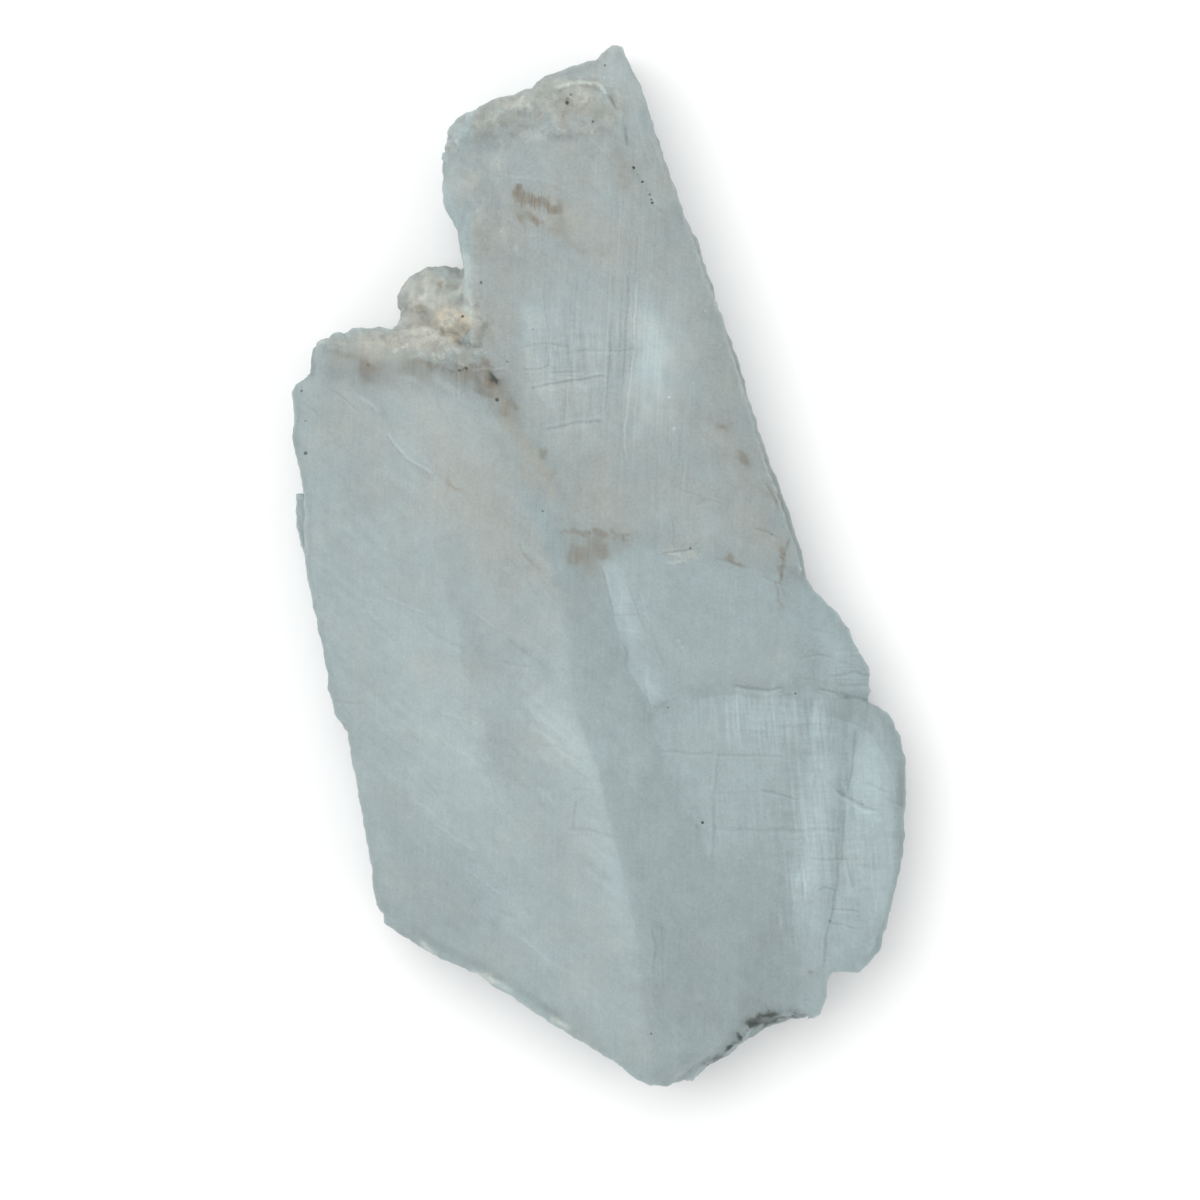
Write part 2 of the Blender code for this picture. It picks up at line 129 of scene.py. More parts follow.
def addCamera():
    data = bpy.data.cameras.new("camera")
    data.sensor_width = shot["sensor"]
    data.lens = shot["sensor"] * shot["distance"] / shot["across"]
    data.clip_start = shot["nearest"]
    data.clip_end = shot["farthest"]
    camera = bpy.data.objects.new("camera", data)
    camera.location = Vector(shot["middle"]) + Vector((0, 0, shot["distance"]))
    bpy.context.scene.collection.objects.link(camera)
    bpy.context.scene.camera = camera


studio = {
    "floorSize": 4.0,
    "floorLook": {"Base Color": (0.90, 0.90, 0.90, 1.0), "Roughness": 0.9, "Specular IOR Level": 0.1},
    "skyLook": {"Color": (1.0, 1.0, 1.0, 1.0), "Strength": 0.80},
    "lamps": [  # name, place in metres, size in metres, watts
        ("key_lamp", (-0.45, 0.35, 1.25), 1.3, 11.0),
        ("fill_lamp", (0.80, -0.30, 1.10), 1.2, 2.5),
    ],
}


def setInputs(node, look):
    for name, value in look.items():
        node.inputs[name].default_value = value


def addStudio():
    mesh = bpy.data.meshes.new("floor")
    half = studio["floorSize"] / 2
    corners = [(-half, -half, 0), (half, -half, 0), (half, half, 0), (-half, half, 0)]
    mesh.from_pydata(corners, [], [(0, 1, 2, 3)])
    floor = bpy.data.objects.new("floor", mesh)
    bpy.context.scene.collection.objects.link(floor)
    paper = bpy.data.materials.new("floor_paper")
    paper.use_nodes = True
    setInputs(paper.node_tree.nodes["Principled BSDF"], studio["floorLook"])
    mesh.materials.append(paper)

    world = bpy.data.worlds.new("soft_sky")
    world.use_nodes = True
    setInputs(world.node_tree.nodes["Background"], studio["skyLook"])
    bpy.context.scene.world = world
    for name, place, size, watts in studio["lamps"]:
        data = bpy.data.lights.new(name, "AREA")
        data.shape = "DISK"
        data.size = size
        data.energy = watts
        lamp = bpy.data.objects.new(name, data)
        lamp.location = place
        lamp.rotation_euler = (-Vector(place)).to_track_quat("-Z", "Y").to_euler()
        bpy.context.scene.collection.objects.link(lamp)
    bpy.context.scene.view_settings.view_transform = "Standard"


addCamera()
addStudio()
print("camera, floor and lights are up")


# ---- the slab's surface; places and sizes in millimetres

slab = {
    "weld": 0.002,            # points nearer than this are one
    "depth": 9,               # octree depth and filling of the remesh: cells of 0.44 mm
    "filling": 0.66,
    "relaxing": 0.4,
    "backLevel": 1.6,         # below this, faces that look straight down belong to the flat back
    "backTurn": -0.9999,
    "wallLevel": 5.0,         # the outline seen from above is taken over this height
    "outlineCell": 0.6,
    "rimStart": 0.8,          # the outline's rim keeps its edge this far in, and over the next rimWidth
    "rimWidth": 1.4,
    "wearLevel": (3.0, 3.0),  # a level and the height over which wear or a mark fades in above it
    "knobLevel": (2.0, 3.0),
    "jointLevel": (10.0, 3.0),
    "frontLevel": (8.0, 3.0),
    "knobFront": (3.0, 2.0),
    "crustLevel": (1.0, 2.0),
    "wearStep": 0.5,          # how far a round moves a point towards its neighbours
    "wearRounds": 36,         # how much the steps between the front plates are worn down
    "knobRounds": 14,
    "jointRounds": 60,
    "softJoint": [(31.6, -28.0, 3.4, 4.6, 0, 1.6)],    # this joint is worn more: a patch as patchSum takes
    "edgeShadeUnit": 0.06,         # a point that stands out this far counts as a sharp edge
    "edgeShadeBlurs": 2,
}

# how marks end: where they have gone and over which width they go, in millimetres, or in half widths for
# patches, soft lines and an edge's reach
fades = {
    "run": 1.4,
    "patch": (1.35, 1.35),
    "softLine": (1.5, 1.0),
    "line": (1.5, 0.7),
    "lineEnd": (0.8, 0.6),
    "lineGap": 0.5,           # lines and dots fade where the next one is nearer than this
    "dotGap": 0.4,
    "dot": (1.5, 0.6),
    "edgeSide": 1.6,
    "edge": (1.2, 1.0),
    "edgeEnd": (1.65, 1.5),
    "lineSides": 20.0,        # half widths past which a line's side no longer matters
    # softness of the borders between plates
    "plate": 0.5,
    "joint": 0.35,
    "middle": 1.2,
    "window": 0.25,
    "windowLow": (15.0, 5.0),
    "windowHigh": (40.0, 4.0),
}
farAway = 99.0                # further than any point is from a line

# sandy crust along these runs: start x, y, end x, y, half width, strength. The first is the knob
crustRuns = [
    (-25.5, 40, -22, 34, 6, 1), (-40.5, 32.6, -30, 32.8, 1.4, 0.8), (-30, 33, -18.5, 31.2, 2, 0.9),
    (-20.5, 57, -18.2, 62.5, 2.6, 0.55), (-19, 55, -15.5, 47, 2.5, 0.5), (-18.2, 62.5, -10, 65, 3.2, 0.7),
    (-10, 65, -1, 65.5, 4, 0.75), (-1, 62.5, 4, 55, 2, 0.3), (-17.5, 46, -11.5, 45.6, 2, 0.3),
]


def smooth(values):
    share = np.clip(values, 0, 1)
    return share * share * (3 - 2 * share)


def rise(values, start, width):
    # 0 up to start, 1 from start + width on
    return smooth((values - start) / width)


def fall(values, end, width):
    # 1 up to end - width, 0 from end on
    return smooth((end - values) / width)


def awayFrom(points, start, end):
    # each point's distance from the straight run between two points
    start, step = np.array(start), np.subtract(end, start)
    along = np.clip((points - start) @ step / (step @ step), 0, 1)
    return np.linalg.norm(points - start - along[:, None] * step, axis=1)


def awayFromAll(points, corners):
    return np.min([awayFrom(points, *leg) for leg in zip(corners, corners[1:])], axis=0)


def pastEnds(away, beside):
    # how far past a line's ends points lie that are this far away from it and this far beside it
    return np.sqrt(np.maximum(away ** 2 - beside ** 2, 0))


def runSum(points, runs):
    found = np.zeros(len(points))
    for x0, y0, x1, y1, halfWidth, strength in runs:
        away = awayFrom(points, (x0, y0), (x1, y1))
        found = np.maximum(found, strength * fall(away, halfWidth + fades["run"], fades["run"]))
    return found


def patchSum(points, patches, plates=None):
    # soft-edged ellipses: x, y, half length, half width, turn in degrees, amount; with the plates' shares
    # given, each keeps to the plate that its middle lies on
    total = np.zeros(len(points))
    owners = plateShares(np.array([patch[:2] for patch in patches])).argmax(axis=0)
    for owner, (x, y, length, width, turn, amount) in zip(owners, patches):
        cosine, sine = math.cos(math.radians(turn)), math.sin(math.radians(turn))
        offset = points - (x, y)
        along = (offset[:, 0] * cosine + offset[:, 1] * sine) / length
        far = np.hypot(along, (offset[:, 1] * cosine - offset[:, 0] * sine) / width)
        share = amount * fall(far, *fades["patch"])
        total += share if plates is None else share * plates[owner]
    return total


def lineSum(points, lines):
    # soft lines: half width, amount, then the points they pass through
    total = np.zeros(len(points))
    for halfWidth, amount, *corners in lines:
        total += amount * fall(awayFromAll(points, corners) / halfWidth, *fades["softLine"])
    return total


def lineFields(points, lines):
    # for lines the material draws crisply: how many half widths a point lies left (+) of the nearest line,
    # and that line's amount, which fades away from it. Lines of one group keep about a millimetre apart
    nearest, second = np.full(len(points), farAway), np.full(len(points), farAway)
    side, share = np.zeros(len(points)), np.zeros(len(points))
    for halfWidth, amount, *corners in lines:
        away, beside = np.full(len(points), farAway), np.zeros(len(points))
        for start, end in zip(corners, corners[1:]):
            step, offset, leg = np.subtract(end, start), points - start, awayFrom(points, start, end)
            cross = (step[0] * offset[:, 1] - step[1] * offset[:, 0]) / np.hypot(*step)
            beside = np.where(leg < away, cross, beside)
            away = np.minimum(away, leg)
        closer = away < nearest
        second = np.where(closer, nearest, np.minimum(second, away))
        side = np.where(closer, beside / halfWidth, side)
        share = np.where(closer, amount * fall(pastEnds(away, beside), *fades["lineEnd"]), share)
        nearest = np.minimum(nearest, away)
    share = share * fall(nearest, *fades["line"]) * rise(second - nearest, 0, fades["lineGap"])
    return np.clip(side, -fades["lineSides"], fades["lineSides"]), share


def edgeSum(points, edges):
    # steps of tone along lines: how far the tone reaches, its amount left of the line, the line's points
    total = np.zeros(len(points))
    for reach, amount, *corners in edges:
        side = lineFields(points, [(1.0, 1.0, *corners)])[0]
        away = awayFromAll(points, corners)
        left = np.clip(0.5 + side / fades["edgeSide"], 0, 1)
        near = fall(away / reach, *fades["edge"]) * fall(pastEnds(away, side), *fades["edgeEnd"])
        total += amount * left * near
    return total


def dotFields(points, dots):
    # how many radii a point lies right of and above the nearest of these small round dots, and that dot's
    # amount; a dot is x, y, radius, amount
    offsets = points[:, None] - np.array([dot[:2] for dot in dots])
    away = np.linalg.norm(offsets, axis=2)
    order = np.argsort(away, axis=1)[:, :2]
    every = np.arange(len(points))
    nearest, second = away[every, order[:, 0]], away[every, order[:, 1]]
    radius, amount = np.array(dots)[order[:, 0], 2:].T
    across, up = (offsets[every, order[:, 0]] / radius[:, None]).T
    return across, up, amount * fall(nearest, *fades["dot"]) * rise(second - nearest, 0, fades["dotGap"])


def besides(points, line, softness):
    # 0 left of a line that runs down the slab, 1 right of it
    places = sorted((y, x) for x, y in line)
    return smooth(0.5 + (points[:, 0] - np.interp(points[:, 1], *zip(*places))) / (2 * softness))


def below(points, line, softness):
    # 0 above a line that runs across the slab, 1 below it
    return smooth(0.5 + (np.interp(points[:, 0], *zip(*sorted(line))) - points[:, 1]) / (2 * softness))


def plateShares(points):
    # how much each point belongs to the leaf, its flank, the upper blade, the lower plate and the side lobe
    pastRidge = besides(points, leafRidge, fades["plate"])
    pastSeam = besides(points, seam, fades["joint"])
    belowLower = below(points, lowerCrack, fades["plate"]) * pastSeam
    pastEdge = besides(points, plateEdge, fades["joint"]) * belowLower
    return np.array([
        1 - pastRidge, pastRidge * (1 - pastSeam), pastSeam - belowLower, belowLower - pastEdge, pastEdge,
    ])


# cloudy patterns: their blots' size, length and turn in degrees from +X, a shift into the noise, octaves
clouds = {
    "wobbleAcross": (4.0, 4.0, 0, 0, 3), "wobbleUp": (4.0, 4.0, 0, 7, 3),
    "raggedAcross": (1.5, 1.5, 0, 15, 2), "raggedUp": (1.5, 1.5, 0, 19, 2),
    "combed": (0.9, 7.0, -40, 3, 3), "drawn": (0.9, 8.0, 86, 9, 3),
    "lightVeil": (4.0, 10.0, -50, 21, 3), "darkVeil": (3.4, 7.0, -62, 33, 3),
    "bladeVeil": (2.6, 9.0, 84, 41, 3), "fleck": (0.9, 1.3, -40, 55, 2), "speck": (1.1, 1.1, 0, 60, 2),
    "blotch": (2.3, 2.3, 0, 70, 3), "haze": (1.6, 1.6, 0, 80, 3),
    "warmth": (6.0, 6.0, 0, 90, 3), "crustWarmth": (2.0, 2.0, 0, 97, 3),
}
octaveSteps = (0.9, 2.0)    # how much fainter and finer each octave is


def cloud(points, name):
    # cloudy noise with a mean of 0 and a spread of 1
    size, length, turn, shift, octaves = clouds[name]
    cosine, sine = math.cos(math.radians(turn)), math.sin(math.radians(turn))
    along = (points[:, 0] * cosine + points[:, 1] * sine) / length
    across = (points[:, 1] * cosine - points[:, 0] * sine) / size
    deep = points[:, 2] / size + shift
    values = np.array([noise.fractal(Vector(p), *octaveSteps, octaves) for p in zip(along, across, deep)])
    return (values - values.mean()) / values.std()


def coordinates(mesh):
    places = np.zeros(len(mesh.vertices) * 3)
    mesh.vertices.foreach_get("co", places)
    return places.reshape(-1, 3) / mm


def store(mesh, name, values):
    mesh.attributes.new(name, "FLOAT", "POINT").data.foreach_set("value", values.astype(np.float32))


def newObject(name, mesh):
    made = bpy.data.objects.new(name, mesh)
    bpy.context.scene.collection.objects.link(made)
    return made


def baked(obj):
    # the object's evaluated mesh in place of its own, with its modifiers gone
    bpy.context.view_layer.update()
    graph = bpy.context.evaluated_depsgraph_get()
    done = obj.evaluated_get(graph)
    mesh = bpy.data.meshes.new_from_object(done, preserve_all_data_layers=True, depsgraph=graph)
    obj.modifiers.clear()
    obj.data = mesh
    mesh.name = obj.name
    return obj


# ---- where the slab's plates meet, and the marks on them

leafRidge = [
    (7.9, -73.6), (5.8, -59.8), (3.9, -45.4), (0, -31), (-4, -18), (-5.8, -3.5), (-10.8, 10.9),
    (-17.3, 26.8),
]
seam = [
    (19.9, -64.9), (19.9, -52.6), (16.2, -42.5), (9.8, -30.2), (5.8, -19.4), (3.2, -10.8), (0.4, -0.4),
    (-3.3, 4.4), (-7.9, 14.5), (-14.4, 24.6), (-18, 31.1),
]
middleCrack = [(-3.3, 5.1), (4.3, 3.7), (14.4, 1.8), (26, -1.4), (30, -3.4)]
lowerCrack = [(6, -20.4), (8.7, -19.4), (19.5, -17.4), (26, -17.7), (34.6, -18.4), (38.4, -20.4)]
plateEdge = [(32.1, -58.4), (33.2, -51.2), (34.4, -42.5), (35.1, -33.9), (36.1, -23.7)]

windowLeft = [(-11.2, 40), (-10.7, 33), (-10.1, 27.8), (-8.6, 23.2), (-7, 15)]
windowRight = [(5, 44), (4.6, 28.8), (4, 18)]

# soft lighter (+) and darker (-) places: x, y, half length, half width, turn in degrees, amount
tonePatches = [
    # broad light and dark parts of the leaf
    (-33, 11, 7, 5, -70, -0.04), (-16, 9, 9, 4, -60, -0.03), (-26.6, -18, 24, 10, -72, 0.13),
    (-21.1, -30, 14, 7.9, -60, 0.04), (-22.4, -24.5, 8.7, 5.2, -65, 0.05), (-33.1, 1.9, 13, 6.9, -75, 0.04),
    (-27.7, -5.8, 3.2, 1.3, -30, 0.05), (-29.2, -11.8, 4, 2.6, -40, 0.05),
    (-22.4, -33.9, 8.7, 5.8, -30, 0.05), (-19.6, -38, 6.6, 0.7, -33, 0.05),
    (-18.8, -42.8, 6.1, 0.7, -32, 0.04), (-22.5, -48, 6.9, 3.8, -35, -0.06),
    (-6.9, -56.4, 6.6, 1, -40, 0.06), (-18.2, -13.5, 3.2, 2.5, -40, -0.06),
    (-9.4, -12.9, 4.9, 1.7, -10, 0.05), (-14.6, -25, 10, 4.2, -62, -0.09),
    (-16, -12.5, 6.5, 4.2, -50, -0.08), (-13, 2.5, 10, 7, -60, -0.05), (-5.5, -22.6, 5.8, 2.5, -62, 0.1),
    (-2.3, -28.8, 6.1, 2.2, -64, 0.1), (-5.1, -28.8, 5.8, 3.5, -70, 0.05),
    (1.2, -43.2, 8.4, 2.5, -76, 0.06), (5.8, -62.7, 8.7, 1.7, -68, -0.03), (-14.5, 4, 20, 7, -68, -0.07),
    (-15, 29, 9, 3.5, -70, -0.06), (-21.4, -2.1, 9, 4.9, -75, -0.03), (-14.4, 13.8, 8.7, 4.9, -50, -0.03),
    # the long dark strip at -30.5, 27.3 is painted shadow of the crust along the leaf's top
    (-17.6, 6.6, 5.8, 2.9, -60, 0.03), (-30.5, 27.3, 14.5, 3.6, -6, -0.17),
    (-17.5, 25, 7.5, 4.5, -30, -0.1), (-29.5, 32.4, 13, 1.8, -3, -0.02), (-22.5, 33.4, 4, 3.2, -50, -0.1),
    (-39, 27.9, 2, 2, 0, -0.08), (-17.3, 25, 6.6, 3.2, -28, -0.1), (-11.5, 18.1, 7.2, 2.9, -58, -0.02),
    (-29.6, -50, 5.8, 1.3, -40, -0.05), (-26, -53.3, 10.1, 0.9, -33, 0.07),
    (-15.9, -59.1, 8.7, 0.7, -33, 0.06), (-5.5, -65.6, 7.2, 0.6, -35, 0.06),
    # knob; its two lighter places are painted light, lifting the knob and its top edge out of their shade
    (-24.5, 38.5, 6.5, 6, -60, 0.16), (-26, 35.5, 2.5, 1.8, 0, -0.05), (-22.8, 42, 3.4, 1.4, 5, 0.16),
    # flank and foot
    (22.5, -63.6, 8, 3.2, 18, -0.07), (3, -24, 9, 4, -75, 0.09), (-1.4, -6.4, 5.8, 2.6, -65, -0.03),
    (-2.2, 1.5, 3.8, 3.2, -50, -0.13), (12, -58.4, 13, 5.8, -75, -0.07), (22.4, -57, 10.1, 5.8, -80, -0.06),
    (14.4, -45.4, 8.7, 3.2, -70, -0.03), (17.3, -62.7, 8.7, 2.3, 10, -0.07),
    (7.2, -64.2, 5.8, 2.9, -60, -0.04), (11, -72.7, 1.4, 0.7, 25, 0.12), (21.8, -67.9, 1.3, 0.7, 25, 0.2),
    # upper blade
    (-11, 65.8, 4.6, 2.2, 10, 0.16), (-1.5, 70.5, 6.5, 4.5, 0, 0.16), (3.6, 70, 6, 3, -72, 0.18),
    (-12, 43.5, 9, 3.5, 0, -0.04), (-11.5, 66, 2, 1.3, 10, 0.1), (-14.1, 65.8, 1.4, 0.7, -20, 0.08),
    (-15.9, 64, 0.9, 0.6, 0, 0.07), (-2.6, 65.5, 4.9, 2.3, -5, -0.02), (-18.8, 61.7, 1.3, 1.3, 0, 0.05),
    (-21.4, 59.8, 1, 2.9, 5, -0.1), (-20.5, 60.7, 0.6, 0.4, 0, 0.2), (-10.7, 60.3, 2.3, 1, 0, -0.07),
    (-9.8, 60.4, 0.9, 0.4, -20, 0.08), (-13.7, 57.8, 1.6, 1.2, 20, 0.05), (-19.2, 53.9, 2, 2.6, 0, -0.03),
    (-21.1, 56.7, 0.7, 0.7, 0, 0.07), (-17.5, 50.7, 0.6, 0.4, 0, 0.16), (-14.1, 47.9, 0.7, 0.4, 0, 0.1),
    (-17.6, 46, 0.6, 0.6, 0, 0.12), (-12, 45.5, 0.9, 0.7, 0, 0.1), (-7.9, 52, 6.4, 2, -15, -0.03),
    (-5.5, 49, 2, 0.9, -20, -0.06), (3.2, 55.7, 2, 3.8, 10, -0.08), (-5.5, 62.4, 1.3, 0.7, -40, 0.07),
    (-1, 62.2, 1.2, 0.7, 20, 0.09), (-2.2, 58.5, 4.3, 2, 0, -0.03), (-7, 46, 9, 3, -10, -0.04),
    (-15, 34, 3.8, 3.8, 0, -0.05), (-12.4, 26.1, 3.2, 1.7, -50, -0.08),
    # window, streak and the plain part right of them; the streak is a painted reflection of the sky beside
    # the blade's ridge
    (-8.6, 34, 2, 4.9, 6, 0.04), (-3.6, 34, 4.9, 5.8, 0, 0.04), (8.4, 30.5, 12, 5, 88, 0.22),
    (7.6, 29.5, 8, 3.6, 88, 0.16), (9, 26.8, 13, 3.8, 86, 0.05), (17.3, 29.7, 10.1, 2.6, -74, -0.02),
    (7.2, 17.4, 1.4, 1.2, 0, -0.06), (3.8, 13.8, 8.7, 4.3, -80, -0.02), (-1.4, 12.3, 6.4, 4.3, -65, -0.02),
    (19.5, 13.8, 8.7, 3.5, -70, -0.03),
    # middle plate with its pale fan
    (3.2, -3.5, 3.8, 1.4, -80, 0.13), (4, -8.2, 3.5, 1.3, -75, 0.12), (7.2, -16.8, 3.5, 1.3, -70, 0.14),
    (5.8, -5, 3.8, 1.7, -70, 0.05), (11.4, -10.6, 0.4, 0.4, 0, 0.15), (21.5, -10.2, 1.7, 2.9, 0, 0.03),
    (14.4, -7.1, 5.8, 3.8, 0, -0.02), (31.8, -6.4, 5.2, 2, -60, 0.02), (31, -12.9, 5.2, 4.3, 0, -0.04),
    (8.4, -20.4, 2.3, 0.9, -10, -0.12), (33, -11, 10, 5.5, -60, 0.13),
    # lower plate and side lobe
    (32.5, -30, 9, 3, 84, 0.06), (13, 7, 9, 5, -10, 0.07), (31, -38, 21, 4, 84, 0.22),
    (24, -23, 8, 5, 0, 0.08), (39, -30, 7, 4, 84, 0.12), (22, -56, 16, 7, -80, -0.11),
    (21.4, -20.3, 8.7, 1.6, 0, 0.07), (13, -25.9, 3.2, 4.3, 0, 0.04), (14.4, -32.4, 2.3, 5.8, 0, 0.02),
    (19.5, -32.4, 2.9, 5.8, 0, 0.04), (23.8, -31, 3.8, 5.2, 0, 0.04), (30.9, -28.1, 1.3, 9, 3, 0.08),
    (34.1, -32.4, 0.9, 8.7, 5, 0.05), (39.3, -25.9, 3.8, 5.8, -20, 0.08), (38.5, -38.2, 14, 4.5, 86, 0.16),
    (37.7, -32.4, 1.7, 2, 0, 0.06), (28.9, -46.1, 1.3, 2.9, 5, 0.06), (31.5, -45.4, 1, 3.2, 6, 0.05),
    (34.9, -48.3, 1.4, 1.7, 0, 0.08), (39.7, -48.3, 1.7, 3.2, -8, 0.06), (22.4, -45.4, 4.3, 4.3, 0, -0.02),
    (34.9, -50.3, 1.2, 0.4, 0, 0.07), (38.7, -42.5, 2.3, 1.2, 0, -0.03), (36.1, -56.2, 3.5, 2, 0, -0.05),
    # the first two places on the next line are painted shade along the side lobe's right edge, where it
    # bevels away
    (42.9, -39.6, 1, 10.1, -6, -0.1), (41.6, -23.7, 5.8, 1, -62, -0.08), (28.3, -55.5, 2.3, 4.9, 8, -0.05),
]
# warmer (+) and bluer (-) places
warmPatches = [
    (-24.5, 38, 7.5, 7, -60, 0.8), (-14.5, 6, 22, 8, -66, 0.18), (-30, 15, 16, 12, -60, 0.12),
    (-30.5, 31, 14.4, 2.9, -3, 0.55), (-15, 25.5, 6.6, 3.2, -46, 0.7), (-9.6, 15.5, 9, 3.4, -58, 0.75),
    (-2.2, 2.2, 4.9, 3.8, -45, 0.55), (-18.8, 12.3, 13, 8.7, -45, 0.2), (-36.7, 22.2, 7.2, 5.8, 80, 0.12),
    (-3.6, 65.5, 8.7, 4.9, -8, 0.4), (-14.4, 64.3, 7.2, 2.9, 20, 0.3), (-19.2, 54.2, 2.3, 3.2, 0, 0.3),
    (-14.4, 48.4, 6.4, 3.5, 20, 0.22), (-7.5, 50.6, 7.2, 2.9, -25, 0.3), (3.2, 55.7, 2.6, 5.8, 12, 0.2),
    (1.4, 47, 4.3, 2.9, 20, 0.25), (-17.3, 34, 4.3, 4.3, 0, 0.22), (-14, -46, 16, 8, -60, -0.1),
    # the bluer place at 7.9, 31.1 is the tint of the painted reflection beside the blade's ridge
    (-23.1, -22.3, 11.5, 7.2, -70, 0.06), (-3.6, 32.6, 7.2, 8.7, 0, -0.18), (7.9, 31.1, 13, 4.3, 88, -0.1),
    (17.3, 19.6, 5.8, 2.3, -74, 0.08), (20.5, 13.8, 8.7, 2.9, -66, 0.12), (24.5, 2.2, 4.3, 2.9, -40, 0.15),
    (0, 9.5, 5.8, 4.3, -60, 0.2), (32.5, -6.4, 5.8, 2.3, -60, -0.1), (23.1, -65.6, 8.7, 2.9, 6, 0.3),
    (8.7, -65.6, 5.8, 4.3, -40, 0.02), (-11.5, 0.8, 8.7, 4.3, -60, 0.12),
]
# brown stains
stainPatches = [
    # the comb and its neighbours
    (-12.4, 53.2, 0.9, 1.2, 0, 0.7), (-9.6, 52.2, 3.7, 1.6, -16, 0.62), (-6.3, 51.2, 1.8, 0.9, -24, 0.45),
    (-11.6, 51.2, 1, 0.8, 0, 0.2), (-10, 49.4, 2.4, 1.1, -20, 0.5), (-9.4, 48.6, 1, 0.9, 0, 0.38),
    (-5.5, 49, 2.6, 1.3, -25, 0.25),
    # strip under the crust and the notch
    (-29, 27.8, 13, 3.2, -6, 0.24), (-32.9, 27.6, 2, 2.2, 0, 0.2), (-36.6, 30, 3.4, 0.9, -8, 0.22),
    (-25, 28, 3.4, 1.8, 0, 0.2), (-20, 27.2, 2.8, 1.6, 0, 0.26), (-16.6, 26, 3.6, 2.6, -20, 0.3),
    (-13.6, 23.6, 5, 2.6, -54, 0.2), (-17.4, 28.8, 4, 1.2, -8, 0.18), (-13.6, 22, 3.4, 2, -30, 0.2),
    (-33.3, 28.5, 0.9, 0.7, 0, 0.22), (-36.1, 29.4, 1.4, 0.6, -5, 0.18), (-26.1, 28.9, 0.9, 0.7, 0, 0.22),
    (-24.1, 28.7, 1.2, 0.9, 0, 0.26), (-20.2, 27.8, 0.4, 0.4, 0, 0.6), (-19.2, 28.1, 0.6, 0.4, 0, 0.5),
    (-16, 28.5, 0.7, 0.6, 0, 0.4), (-17.3, 28.8, 2.3, 0.7, 0, 0.15), (-15.4, 25.9, 1.4, 1.4, -50, 0.5),
    (-16.5, 25.3, 1.2, 0.6, 30, 0.25), (-17.6, 24.5, 0.4, 0.7, 10, 0.4), (-13.7, 22, 0.6, 0.6, 0, 0.45),
    (-11.5, 22.2, 0.7, 0.4, -10, 0.35), (-12.7, 22.7, 2.3, 0.4, -5, 0.15),
    (-20.6, 11.2, 2.8, 0.7, -32, 0.46), (-10.4, 1.2, 1.6, 0.5, -42, 0.34),
    (-23.7, 12.9, 0.9, 0.4, -30, 0.2), (-18.9, 9, 0.9, 0.6, -30, 0.15), (-8.2, 15.8, 0.8, 1.2, 10, 0.46),
    (-6.9, 12.9, 0.7, 1, 20, 0.34), (-7.9, 12.6, 0.7, 0.7, 0, 0.22),
    # knob
    (-23.1, 40.2, 0.6, 0.4, -40, 0.6), (-22.7, 41.9, 0.7, 0.4, 0, 0.35), (-25.9, 36.2, 1.2, 1.6, 20, 0.34),
    (-22.6, 38.6, 1.6, 0.6, 30, 0.26), (-27.1, 34, 1.2, 0.9, 0, 0.18), (-23.1, 35.4, 0.4, 0.4, 0, 0.5),
    (-22.2, 33.6, 1.2, 0.7, -30, 0.3), (-20.1, 31.8, 0.9, 1, -40, 0.42), (-21.4, 32.8, 1.4, 0.9, -30, 0.2),
    (-17, 40.4, 0.3, 0.7, 20, 0.65),
    # blade
    (-4.6, 66.2, 0.3, 0.6, -20, 0.75), (-4.2, 67.2, 0.3, 0.4, -10, 0.45), (-5.2, 68.1, 0.3, 0.3, 0, 0.35),
    (-1, 63.5, 0.3, 0.3, 0, 0.5), (-13.9, 59.7, 0.6, 0.3, -45, 0.25), (-13.1, 59.3, 0.4, 0.3, -45, 0.25),
    (3.2, 56, 1.8, 4.6, 14, 0.2),
    # the box where the blades meet
    (-1.6, 2.2, 4.4, 3.8, -8, 0.3), (0.2, 2.6, 2, 1.3, -15, 0.38), (-3.2, 1, 2.2, 1.6, 0, 0.18),
    (-1.4, 4.6, 3, 0.6, -6, 0.26), (-4.6, 0.2, 0.5, 1.8, 0, 0.26), (3.3, 3.2, 1.5, 1.3, 0, 0.26),
    (-3.6, -4, 3.4, 3, -40, 0.1),
    # right side
    (17.3, 19.6, 1.6, 0.8, -20, 0.36), (20.6, 15.4, 2.2, 0.8, -40, 0.4), (24.6, 9.8, 1.6, 0.7, -50, 0.34),
    (19, 17.5, 5, 2.2, -60, 0.1), (23.7, 5.1, 1.3, 0.5, -20, 0.42), (18.9, 0.6, 1.9, 0.7, -18, 0.48),
    (20.5, -0.1, 1, 0.5, 0, 0.3), (26.3, 0.8, 0.4, 1.4, 12, 0.35), (26, -1.8, 0.7, 0.9, 0, 0.28),
    (30.3, -58.5, 0.6, 0.7, -40, 0.85), (29.7, -58, 0.7, 0.4, -30, 0.35), (-41, 33.3, 0.9, 0.4, 20, 0.45),
    (-38.5, 32.8, 0.7, 0.4, 10, 0.25),
]
